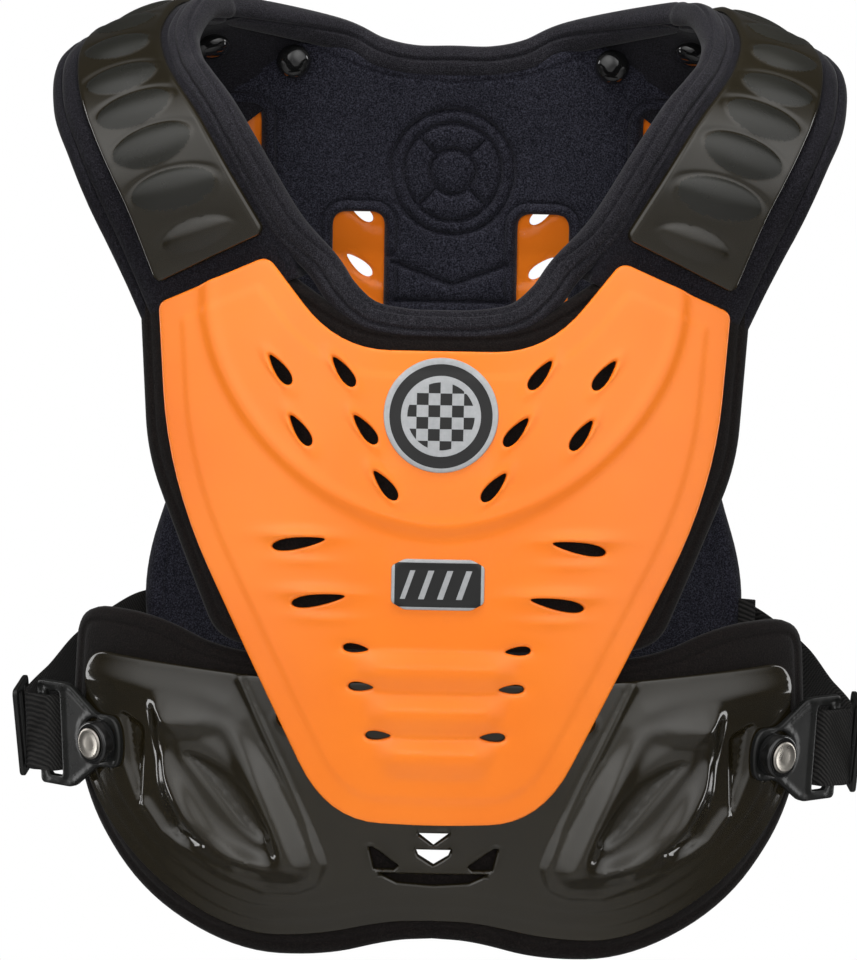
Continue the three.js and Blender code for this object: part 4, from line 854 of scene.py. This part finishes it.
# Splines through nodes
def spline(nodes, at, closed=False):
    """Points and directions of a uniform Catmull-Rom curve, at node numbers."""
    nodes = np.asarray(nodes, float)
    count = len(nodes)
    at = np.asarray(at, float)
    i = np.floor(at).astype(int) if closed else np.clip(np.floor(at).astype(int), 0, count - 2)
    t = (at - i)[:, None]
    if closed:
        p0, p1, p2, p3 = (nodes[(i + k) % count] for k in (-1, 0, 1, 2))
    else:
        whole = np.vstack([2 * nodes[0] - nodes[1], nodes, 2 * nodes[-1] - nodes[-2]])
        p0, p1, p2, p3 = (whole[i + k] for k in (0, 1, 2, 3))
    m1, m2 = (p2 - p0) / 2, (p3 - p1) / 2
    a, b = 2 * p1 - 2 * p2 + m1 + m2, -3 * p1 + 3 * p2 - 2 * m1 - m2
    return ((a * t + b) * t + m1) * t + p1, unit((3 * a * t + 2 * b) * t + m1)


# Shoulder arches: across, reach, fall, cap, border, turn and drop of each row from the chest to the back
ARCH_ROWS = np.array([
    (0.655, -1.02, 1.2, 1.2, 1.2, 22, 16),
    (0.721, -1.0, 1.0, 1.2, 1.25, 22, 16),
    (0.833, -1.0, 0.7, 1.055, 1.43, 20, 16),
    (0.906, -0.94, 0.525, 0.978, 1.31, 17, 16),
    (0.972, -0.81, 0.38, 0.9, 1.16, 14, 16),
    (1.018, -0.64, 0.26, 0.85, 1.12, 10, 16),
    (1.04, -0.43, 0.136, 0.81, 1.06, 8, 18),
    (1.025, -0.22, 0.05, 0.8, 1.02, 6, 20),
    (0.99, 0.0, 0.0, 0.81, 1.0, 4, 21),
    (0.945, 0.26, 0.04, 0.84, 1.0, 0, 19),
    (0.885, 0.5, 0.18, 0.88, 1.0, -6, 17),
    (0.8, 0.75, 0.47, 0.94, 1.0, -14, 14),
    (0.718, 1.0, 1.0, 1.0, 1.0, -24, 14),
    (0.66, 1.08, 1.5, 1.02, 1.0, -26, 14),
])
ARCH_HALF_SPAN = 156
ARCH_TOP_Z = PAD_WALL - 3
CAP_HALF_WIDTH = 27
PAD_OUTER_BORDER = 14
BAND_WIDTH, BAND_WALL = 17, 14
FRONT_FOOT_Z = CHEST_TOP - 5 * CLEARANCE
REAR_FOOT_Z = -20
front_foot_y = float(on_torso(FRONT, 110, FRONT_FOOT_Z, LINER_FACE)[1])
rear_foot_y = float(on_torso(BACK, 112, REAR_FOOT_Z, LINER_FACE)[1])

arch_nodes = []
for across, reach, fall, *_ in ARCH_ROWS:
    foot_y, foot_z = (-front_foot_y, FRONT_FOOT_Z) if reach < 0 else (rear_foot_y, REAR_FOOT_Z)
    arch_nodes.append((across * ARCH_HALF_SPAN, reach * foot_y, ARCH_TOP_Z - fall * (ARCH_TOP_Z - foot_z)))


def arch_column(rows, column):
    return smooth_table(np.arange(len(ARCH_ROWS)), ARCH_ROWS[:, column], rows)


def arch_frames(rows):
    """Where the right arch is and how it faces at row numbers."""
    at, along = spline(arch_nodes, rows)
    turn, drop = np.radians(arch_column(rows, 5)), np.radians(arch_column(rows, 6))
    level = np.stack([np.cos(turn) * np.cos(drop), np.sin(turn) * np.cos(drop), -np.sin(drop)], 1)
    outward = unit(level - along * np.sum(level * along, 1)[:, None])
    return at, along, outward, np.cross(outward, along), arch_column(rows, 3) * CAP_HALF_WIDTH


def arch_loft(rows, profile_of):
    at, _, outward, up, cap = arch_frames(rows)
    border = arch_column(rows, 4) * PAD_OUTER_BORDER
    sections = []
    for k in range(len(rows)):
        profile = np.asarray(profile_of(rows[k], cap[k], border[k]))
        sections.append(at[k] + outward[k] * profile[:, :1] + up[k] * profile[:, 1:])
    return loft(sections)


def pad_profile(row, cap, border):
    """The foam pad: puffed beside the cap, a sewn line, and a rounded outer tier. Behind the shoulder it
    reaches further under the neck band, so that no light shows between them."""
    tiers = [(0, 0.2), (0.12, 0.9), (0.3, 1.3), (0.46, 1.0), (0.56, 0.1), (0.6, -1.5), (0.645, -0.6), (0.74, 0.1),
             (0.86, -0.6), (0.95, -2.4), (1, -4.6), (1, -7.0), (0.95, -9.4), (0.84, -11.3), (0.66, -12)]
    inner = -(cap + BAND_WIDTH * (1 / 3 + 0.5 * smooth_step(8.5, 10.5, row)))
    outer = [(cap + share * border, height) for share, height in tiers]
    return [(inner, -PAD_WALL), (inner, -1), (-cap, 0), (0, 0)] + outer + [(0, -PAD_WALL)]


pad_rows = np.linspace(0, len(ARCH_ROWS) - 1.0, 110)
points, faces = arch_loft(pad_rows, pad_profile)
make_piece("shoulder_pad_right", points, faces, [PAD_KNIT], "liner_fabric", sharp=80, pad_fill=0.7)
make_piece("shoulder_pad_left", mirrored(points), faces, [PAD_KNIT], "liner_fabric", sharp=80, pad_fill=0.7)

# The cap over a shoulder, with a row of raised ovals and a smaller crescent below them. The outer ends of
# the ovals lean up by some degrees, which change from row to row. The cap's front corners are rounded.
CAP_FIRST, CAP_LAST = 1.0, 11.0
OVALS = [(1.35, 0.75)] + [(row, 1.0) for row in (1.95, 2.9, 3.85, 4.85, 5.9, 7.0, 8.1)]
LEAN_ROWS, LEAN_ANGLES = (1.35, 1.95, 4, 8.1), (5, 13, 16, 8)
BUMP_LENGTH, BUMP_WIDTH, BUMP_HEIGHT = 44, 19.5, 3.0
CAP_ACROSS = 61
END_ROUND = 5.0


def cap_mesh():
    rows = np.concatenate([np.linspace(CAP_FIRST, CAP_FIRST + 0.2, 24),
                           np.linspace(CAP_FIRST + 0.23, CAP_LAST, 280)])
    at, _, outward, up, half = arch_frames(rows)
    from_end = np.concatenate([[0], np.cumsum(np.linalg.norm(np.diff(at, axis=0), axis=1))])
    short = END_ROUND - np.minimum(from_end, END_ROUND)
    half = half - END_ROUND + np.sqrt(END_ROUND**2 - short**2)
    shares = np.linspace(-1, 1, CAP_ACROSS)
    seat_rows = np.array([row for row, _ in OVALS])
    seat, seat_along, seat_out, _, seat_half = arch_frames(seat_rows)
    lean = np.radians(np.interp(seat_rows, LEAN_ROWS, LEAN_ANGLES))[:, None]
    long_way = np.cos(lean) * seat_out + np.sin(lean) * seat_along
    short_way = np.cos(lean) * seat_along - np.sin(lean) * seat_out
    sections, dull = [], []
    for k in range(len(rows)):
        out = shares * half[k]
        place = at[k] + outward[k] * out[:, None]
        lift = np.zeros(CAP_ACROSS)
        mask = np.zeros(CAP_ACROSS)
        for j, (_, size) in enumerate(OVALS):
            length = size * BUMP_LENGTH * seat_half[j] / CAP_HALF_WIDTH / 2
            width = size * BUMP_WIDTH / 2
            u = (place - seat[j]) @ long_way[j] / length
            v = (place - seat[j]) @ short_way[j] / width
            round_off = np.hypot(u, v)
            softness = 0.8 + 0.4 * smooth_step(0.2, -0.8, v)
            dome = np.maximum(1 - round_off**2, 0) ** softness
            lift += size * BUMP_HEIGHT * dome * (0.85 + 0.2 * v)
            lift -= 0.5 * size * hill(round_off - 1.08, 0.12) * smooth_step(-0.3, 0.8, v)
            mask += (round_off < 0.96) & (size == 1)
        edge = 0.8 * PLATE_WALL
        near = np.minimum(half[k] - np.abs(out), min(edge, from_end[k] + 0.1))
        lift -= edge - np.sqrt(np.maximum(edge**2 - (edge - near) ** 2, 0))
        top = place + up[k] * (SHELL_GAP + PLATE_WALL + lift)[:, None]
        under = at[k] + outward[k] * (out[::-1, None] * np.ones(3)) + up[k] * SHELL_GAP
        sections.append(np.vstack([top, under]))
        dull.append(mask)
    points, faces = loft(sections)
    size = 2 * CAP_ACROSS
    kinds = []
    for face in faces:
        s, i = divmod(face[0], size)
        kinds.append(1 if len(face) == 4 and i < CAP_ACROSS and dull[s][i] > 0.5 else 0)
    return points, faces, kinds


points, faces, kinds = cap_mesh()
for name, place in (("shoulder_cap_right", points), ("shoulder_cap_left", mirrored(points))):
    make_piece(name, place, faces, [SMOKE, OVAL], "smoke_shell", face_kinds=kinds)

# The padded band round the whole neck opening
NECKLINE_FRONT = [(0, 0.113), (0.137, 0.111), (0.266, 0.097), (0.36, 0.058), (0.432, 0.007)]
NECKLINE_BACK = [(0.39, -0.042), (0.25, -0.0125), (0.13, 0), (0, 0)]
band_at, band_up = [], []
middle_lift = LINER_FACE - LINER_WALL / 2
for torso, table, size in ((FRONT, NECKLINE_FRONT, CHEST_SIZE), (BACK, NECKLINE_BACK, BACK_SIZE)):
    for across, down in table:
        x, z = across * size[0] / 2, size[2] - down * size[1]
        band_at.append(on_torso(torso, x, z, middle_lift))
        band_up.append(torso_normal(torso, np.float64(x), np.float64(z)))
    if torso is FRONT:
        at, _, outward, up, cap = arch_frames(np.arange(1.0, 11.0))
        edge = at - outward * (cap + BAND_WIDTH / 2)[:, None] - up * PAD_WALL / 2
        band_at += list(edge)
        band_up += list(up)
band_at = band_at + [p * [-1, 1, 1] for p in band_at[-2:0:-1]]
band_up = band_up + [p * [-1, 1, 1] for p in band_up[-2:0:-1]]


def band_mesh():
    steps, corners = 420, 72
    at = np.arange(steps) * len(band_at) / steps
    centre, along = spline(band_at, at, closed=True)
    facing, _ = spline(band_up, at, closed=True)
    side = unit(np.cross(along, facing))
    up = np.cross(side, along)
    angle = -2 * np.pi * np.arange(corners) / corners
    turn = np.degrees(angle) % 360
    radius = 0.97 / (np.abs(np.cos(angle)) ** 2.6 + np.abs(np.sin(angle)) ** 2.6) ** (1 / 2.6)
    for seam in (72, 128, 252):
        radius = radius - 0.26 * hill(turn - seam, 6)
    sections = []
    for k in range(steps):
        flat = np.stack([radius * np.cos(angle) * BAND_WIDTH / 2, radius * np.sin(angle) * BAND_WALL / 2], 1)
        sections.append(centre[k] + side[k] * flat[:, :1] + up[k] * flat[:, 1:])
    return loft(sections, ring=True)


points, faces = band_mesh()
make_piece("neck_band", points, faces, [PIPING], "liner_fabric", sharp=80, pad_fill=0.8)

# Snaps, brackets, straps and buckles of the right side, mirrored to the left
SNAP_X, SNAP_Z = 164, -343
BRACKET_WALL, BRACKET_LENGTH, BRACKET_HEIGHT, BRACKET_END = 3, 47, 52, 13
STRAP_SLOT, STRAP_BAR, STRAP_WIDTH, STRAP_WALL, STRAP_BOW = 10, 6.5, 38, 2, 9
STRAP_LEAD, STRAP_LIP = 26, 7
SNAP_RADIUS, SNAP_HEIGHT, SNAP_CAP_RADIUS = 10.5, 7, 7.8
snap_foot = on_torso(FRONT, SNAP_X, SNAP_Z, LINER_FACE + CLEARANCE)
snap_normal = torso_normal(FRONT, np.float64(SNAP_X), np.float64(SNAP_Z))
snap_across = unit(np.cross([0, 0, 1.0], snap_normal))
snap_up = np.cross(snap_normal, snap_across)


def on_bracket(x, z, lift):
    x, z, lift = np.broadcast_arrays(np.asarray(x, float), np.asarray(z, float), np.asarray(lift, float))
    return snap_foot + snap_across * x[..., None] + snap_up * z[..., None] + snap_normal * lift[..., None]


def both_sides(name, points, faces, material, slot, **settings):
    make_piece(name + "_right", points, faces, [material], slot, **settings)
    make_piece(name + "_left", mirrored(points), faces, [material], slot, **settings)


slot_end = BRACKET_LENGTH - STRAP_BAR
slot_start = slot_end - STRAP_SLOT
tall = BRACKET_HEIGHT / 2
half_slot = (STRAP_WIDTH + 4) / 2
bracket_loop = rounded([
    (-BRACKET_END, -BRACKET_END, BRACKET_END), (BRACKET_END / 3, -BRACKET_END, 4), (slot_start - 7, -tall, 4),
    (BRACKET_LENGTH, -tall, 3), (BRACKET_LENGTH, tall, 3), (slot_start - 7, tall, 4),
    (BRACKET_END / 3, BRACKET_END, 4), (-BRACKET_END, BRACKET_END, BRACKET_END)])
bracket_slot = rounded([(slot_start, -half_slot, 2), (slot_end, -half_slot, 2), (slot_end, half_slot, 2),
                        (slot_start, half_slot, 2)])
bracket_hole = np.stack([4.5 + 11 * np.cos(angles[::2]), 11 * np.sin(angles[::2])], 1)
points, faces = flat_sheet(
    bracket_loop,
    [bracket_slot, bracket_hole],
    on_bracket,
    lambda x, z, edge, hole: BRACKET_WALL - 0.5 * smooth_step(2.2, 3.2, np.minimum(edge, hole)),
    lambda x, z, edge, hole: 0 * x,
    step=1.6,
    rim=(0.9, 0.4),
)
both_sides("strap_bracket", points, faces, BLACK, "black_plastic", sharp=60)

seat = BRACKET_WALL + CLEARANCE
ring_profile = [(0, 0), (5.6, 0), (5.6, seat), (SNAP_RADIUS, seat), (SNAP_RADIUS, seat + 4.6)]
ring_profile += [(SNAP_RADIUS - 1.3 + 1.3 * math.cos(a), seat + SNAP_HEIGHT - 1.3 + 1.3 * math.sin(a))
                 for a in np.linspace(0, math.pi / 2, 6)]
ring_profile += [(SNAP_RADIUS - 2.0, seat + SNAP_HEIGHT - 0.1), (0, seat + SNAP_HEIGHT - 0.1)]
points, faces = turned(ring_profile, snap_foot, snap_normal)
both_sides("snap_ring", points, faces, GLOSS_BLACK, "black_plastic")
cap_seat = BRACKET_WALL + 2 * CLEARANCE + SNAP_HEIGHT
cap_profile = [(0, cap_seat), (SNAP_CAP_RADIUS, cap_seat), (SNAP_CAP_RADIUS, cap_seat + 0.45)]
cap_profile += [(SNAP_CAP_RADIUS - 0.5, cap_seat + 0.8), (SNAP_CAP_RADIUS - 1.3, cap_seat + 0.9),
                (SNAP_CAP_RADIUS - 1.9, cap_seat + 0.7), (3, cap_seat + 0.85), (0, cap_seat + 0.9)]
points, faces = turned(cap_profile, snap_foot, snap_normal)
both_sides("snap_cap", points, faces, NICKEL, "snap_metal", sharp=60)

STRAP_END_X, STRAP_END_Z = 128, -304


def strap_nodes():
    over_bar = BRACKET_WALL + CLEARANCE + STRAP_WALL / 2 + 0.5
    slot_middle = BRACKET_LENGTH - STRAP_BAR - STRAP_SLOT / 2
    on_back = LINER_FACE + SHELL_GAP + STRAP_WALL / 2
    leave = on_torso(BACK, STRAP_END_X + STRAP_LEAD, STRAP_END_Z, on_back + SHELL_GAP)
    past = on_bracket(BRACKET_LENGTH + STRAP_LIP, 0, over_bar - 1)
    bow = np.array([STRAP_BOW, 0, 0])
    return np.array([
        on_bracket(slot_middle - 3, 0, -6),
        on_bracket(slot_middle - 1, 0, BRACKET_WALL / 2 - 2),
        on_bracket(slot_middle + 1.5, 0, over_bar - 1),
        on_bracket(BRACKET_LENGTH - STRAP_BAR / 2, 0, over_bar),
        past,
        past + (leave - past) * 0.27 + 0.5 * bow,
        past + (leave - past) * 0.55 + bow,
        past + (leave - past) * 0.8 + 0.8 * bow,
        leave,
        on_torso(BACK, STRAP_END_X + 0.46 * STRAP_LEAD, STRAP_END_Z, on_back),
        on_torso(BACK, STRAP_END_X, STRAP_END_Z, on_back),
    ])


def strap_point(share):
    """A centripetal Catmull-Rom curve through the strap's nodes."""
    nodes = strap_nodes()
    whole = np.vstack([2 * nodes[0] - nodes[1], nodes, 2 * nodes[-1] - nodes[-2]])
    at = share * (len(nodes) - 1)
    i = min(int(at), len(nodes) - 2)
    t = at - i
    p = whole[i:i + 4]
    d0, d1, d2 = (np.linalg.norm(p[k + 1] - p[k]) ** 0.5 for k in range(3))
    m1 = ((p[1] - p[0]) / d0 - (p[2] - p[0]) / (d0 + d1) + (p[2] - p[1]) / d1) * d1
    m2 = ((p[2] - p[1]) / d1 - (p[3] - p[1]) / (d1 + d2) + (p[3] - p[2]) / d2) * d1
    a, b = 2 * p[1] - 2 * p[2] + m1 + m2, -3 * p[1] + 3 * p[2] - 2 * m1 - m2
    return ((a * t + b) * t + m1) * t + p[1], unit((3 * a * t + 2 * b) * t + m1)


end_normal = torso_normal(BACK, np.float64(STRAP_END_X), np.float64(STRAP_END_Z))
end_up = unit(np.array([0, 0, 1.0]) - end_normal * end_normal[2])


def strap_frame(share):
    at, along = strap_point(share)
    rise = snap_up + (end_up - snap_up) * min(1, share * 1.5)
    upright = unit(rise - along * (rise @ along))
    return at, along, upright, np.cross(along, upright)


def strap_mesh():
    half, wall = STRAP_WIDTH / 2, STRAP_WALL / 2
    ribs = np.linspace(-half + 1, half - 1, 37)
    lift = wall * (0.9 - 0.12 * np.cos(np.arange(37) * np.pi))
    profile = [(-half, -wall * 0.3), (-half, wall * 0.3)] + list(zip(ribs, lift)) + [(half, wall * 0.3)]
    profile += [(half, -wall * 0.3)] + list(zip(ribs[::-1], -lift[::-1]))
    profile = np.array(profile)
    sections = []
    for share in np.linspace(0, 1, 150):
        at, _, upright, out = strap_frame(share)
        sections.append(at + upright * profile[:, :1] + out * profile[:, 1:])
    return loft(sections)


points, faces = strap_mesh()
both_sides("side_strap", points, faces, WEBBING, "webbing")

BUCKLE_LENGTH, BUCKLE_BAR, BUCKLE_WALL, BUCKLE_SHARE = 22, 3.6, 2.6, 0.42
buckle_at, buckle_along, buckle_up, buckle_out = strap_frame(BUCKLE_SHARE)
buckle_seat = buckle_at + buckle_out * (STRAP_WALL / 2 + CLEARANCE)


def on_buckle(x, z, lift):
    return buckle_seat + buckle_along * x[:, None] + buckle_up * z[:, None] + buckle_out * lift[:, None]


def rectangle(left, right, half, corner):
    return rounded([(left, -half, corner), (right, -half, corner), (right, half, corner), (left, half, corner)])


buckle_half = STRAP_WIDTH / 2 + BUCKLE_BAR + 1
points, faces = flat_sheet(
    rectangle(-BUCKLE_LENGTH / 2, BUCKLE_LENGTH / 2, buckle_half, BUCKLE_BAR),
    [rectangle(-BUCKLE_LENGTH / 2 + BUCKLE_BAR, -BUCKLE_BAR / 2, STRAP_WIDTH / 2 + 1, 1),
     rectangle(BUCKLE_BAR / 2, BUCKLE_LENGTH / 2 - BUCKLE_BAR, STRAP_WIDTH / 2 + 1, 1)],
    on_buckle,
    lambda x, z, edge, hole: BUCKLE_WALL + 0 * x,
    lambda x, z, edge, hole: 0 * x,
    step=1.2,
    rim=(1.0, 0.5),
)
both_sides("ladder_buckle", points, faces, BLACK, "black_plastic", sharp=60)

# Round-headed knobs
KNOB_RADIUS = 9
KNOB_PROFILE = [(0, 0), (0.62, 0), (0.62, 0.22), (0.84, 0.32), (0.95, 0.5), (1, 0.8), (0.97, 1.02), (0.88, 1.22),
                (0.74, 1.38), (0.55, 1.5), (0.3, 1.59), (0, 1.62)]
knob_profile = [(r * KNOB_RADIUS, h * KNOB_RADIUS) for r, h in KNOB_PROFILE]
knob_seat = on_torso(BACK, 87, -6, LINER_FACE - LINER_WALL - CLEARANCE)
points, faces = turned(knob_profile, knob_seat, -torso_normal(BACK, np.float64(87), np.float64(-6)))
both_sides("liner_knob", points, faces, GLOSS_BLACK, "black_plastic")
at, _, outward, up, _ = arch_frames(np.array([10.0]))
low_profile = [(r, 0.6 * h) for r, h in knob_profile]
points, faces = turned(low_profile, at[0] - up[0] * (PAD_WALL + 2 * SHELL_GAP) - outward[0] * 14, -up[0])
both_sides("pad_knob", points, faces, GLOSS_BLACK, "black_plastic")

# The blank tab in the back liner's side seam
LABEL_WIDTH, LABEL_HEIGHT, LABEL_WALL = 10, 22, 0.8
label_z = -293.5
label_x = 0.985 * BACK_WIDTH / 2
label_seam = on_torso(BACK, label_x, label_z, LINER_FACE - LINER_WALL / 2)
label_facing = torso_normal(BACK, np.float64(label_x), np.float64(label_z)) * [1, 1, 0]
label_facing = unit(label_facing)
label_away = np.cross(label_facing, [0, 0, 1.0])


def on_label(x, z, lift):
    up = np.array([0, 0, 1.0])
    return label_seam + label_away * (x[:, None] + CLEARANCE) + up * z[:, None] + label_facing * lift[:, None]


points, faces = flat_sheet(
    rounded([(0, -LABEL_HEIGHT / 2, 0.6), (LABEL_WIDTH, -LABEL_HEIGHT / 2, 0.6), (LABEL_WIDTH, LABEL_HEIGHT / 2, 0.6),
             (0, LABEL_HEIGHT / 2, 0.6)]),
    [],
    on_label,
    lambda x, z, edge, hole: LABEL_WALL / 2 + 0 * x,
    lambda x, z, edge, hole: -LABEL_WALL / 2 + 0 * x,
    step=1.0,
    rim=(0.3, 0.3),
)
make_piece("side_label", points, faces, [WEBBING], "webbing")

# Floor, light and camera
FLOOR_Z = -0.75
FLOOR_RADIUS = 1.0
rim_angles = np.linspace(0, 2 * np.pi, 96, endpoint=False)
floor_mesh = bpy.data.meshes.new("floor_mesh")
floor_mesh.from_pydata([(FLOOR_RADIUS * math.cos(a), FLOOR_RADIUS * math.sin(a), FLOOR_Z) for a in rim_angles], [],
                       [list(range(96))])
floor = bpy.data.objects.new("floor", floor_mesh)
bpy.context.scene.collection.objects.link(floor)
floor_material, _ = new_material("pale_floor", (0.86, 0.86, 0.86), 0.9)
floor_mesh.materials.append(floor_material)
floor.visible_glossy = False

# The room: dim, and mirrored in glossy parts with soft glows to both sides in front, above and below.
# Each glow has a direction, a strength and the cosine at which it ends.
ROOM_LEVEL = 0.06
ROOM_GLOWS = [((-0.68, -0.62, 0.39), 0.85, 0.7), ((0.68, -0.62, 0.39), 0.85, 0.7), ((0, -0.6, 0.8), 0.6, 0.5),
              ((0, -0.75, -0.66), 0.3, 0.35)]
world = bpy.data.worlds.new("studio")
bpy.context.scene.world = world
world.use_nodes = True
tree = world.node_tree
backdrop = tree.nodes["Background"]
backdrop.inputs["Color"].default_value = (1, 1, 1, 1)
backdrop.inputs["Strength"].default_value = 1.0
room = tree.nodes.new("ShaderNodeBackground")
room.inputs["Color"].default_value = (1, 1, 1, 1)
way = tree.nodes.new("ShaderNodeTexCoord").outputs["Generated"]
rays = tree.nodes.new("ShaderNodeLightPath")
level = None
for direction, strength, end in ROOM_GLOWS:
    facing = tree.nodes.new("ShaderNodeVectorMath")
    facing.operation = "DOT_PRODUCT"
    facing.inputs[1].default_value = direction
    tree.links.new(way, facing.inputs[0])
    glow = tree.nodes.new("ShaderNodeMapRange")
    glow.interpolation_type = "SMOOTHSTEP"
    glow.inputs["From Min"].default_value = end
    glow.inputs["From Max"].default_value = 1.0
    glow.inputs["To Max"].default_value = strength
    tree.links.new(facing.outputs["Value"], glow.inputs["Value"])
    total = tree.nodes.new("ShaderNodeMath")
    total.operation = "MULTIPLY_ADD"
    tree.links.new(glow.outputs[0], total.inputs[0])
    tree.links.new(rays.outputs["Is Glossy Ray"], total.inputs[1])
    if level is None:
        total.inputs[2].default_value = ROOM_LEVEL
    else:
        tree.links.new(level, total.inputs[2])
    level = total.outputs[0]
tree.links.new(level, room.inputs["Strength"])
choice = tree.nodes.new("ShaderNodeMixShader")
tree.links.new(rays.outputs["Is Camera Ray"], choice.inputs[0])
tree.links.new(room.outputs[0], choice.inputs[1])
tree.links.new(backdrop.outputs[0], choice.inputs[2])
tree.links.new(choice.outputs[0], tree.nodes["World Output"].inputs["Surface"])


def softbox(name, place, width, height, power, mirrored_in_gloss=True):
    light = bpy.data.lights.new(name, "AREA")
    light.shape = "RECTANGLE"
    light.size, light.size_y, light.energy = width, height, power
    made = bpy.data.objects.new(name, light)
    bpy.context.scene.collection.objects.link(made)
    made.location = place
    made.rotation_euler = (Vector((0, 0, -0.22)) - Vector(place)).to_track_quat("-Z", "Y").to_euler()
    made.visible_glossy = mirrored_in_gloss


softbox("key", (-1.5, -1.7, 1.0), 1.6, 1.2, 7, mirrored_in_gloss=False)
softbox("fill", (1.8, -1.5, 0.2), 1.0, 1.5, 3, mirrored_in_gloss=False)
softbox("front", (0, -2.6, 0.12), 1.0, 0.6, 44, mirrored_in_gloss=False)
softbox("top", (0, -0.35, 0.75), 0.6, 0.4, 9, mirrored_in_gloss=False)
softbox("back", (0.4, 2.4, 0.6), 1.6, 1.2, 45, mirrored_in_gloss=False)
softbox("left_strip", (-1.5, 0.3, -0.1), 0.3, 1.4, 4)
softbox("right_strip", (1.5, 0.3, -0.1), 0.3, 1.4, 4)

AZIMUTH, ELEVATION, ROLL = math.radians(1.0), math.radians(5), math.radians(1.0)
TARGET = Vector((-0.0055, -0.13, -0.2084))
DISTANCE = 2.2
camera_data = bpy.data.cameras.new("camera")
camera_data.lens = 173.25
camera_data.sensor_width = 36
camera_data.clip_end = 50
camera = bpy.data.objects.new("camera", camera_data)
bpy.context.scene.collection.objects.link(camera)
back_way = Vector((math.sin(AZIMUTH) * math.cos(ELEVATION), -math.cos(AZIMUTH) * math.cos(ELEVATION),
                   math.sin(ELEVATION)))
camera.location = TARGET + back_way * DISTANCE
camera.rotation_euler = ((-back_way).to_track_quat("-Z", "Y") @ Quaternion((0, 0, 1), ROLL)).to_euler()
bpy.context.scene.camera = camera
bpy.context.scene.view_settings.view_transform = "Standard"
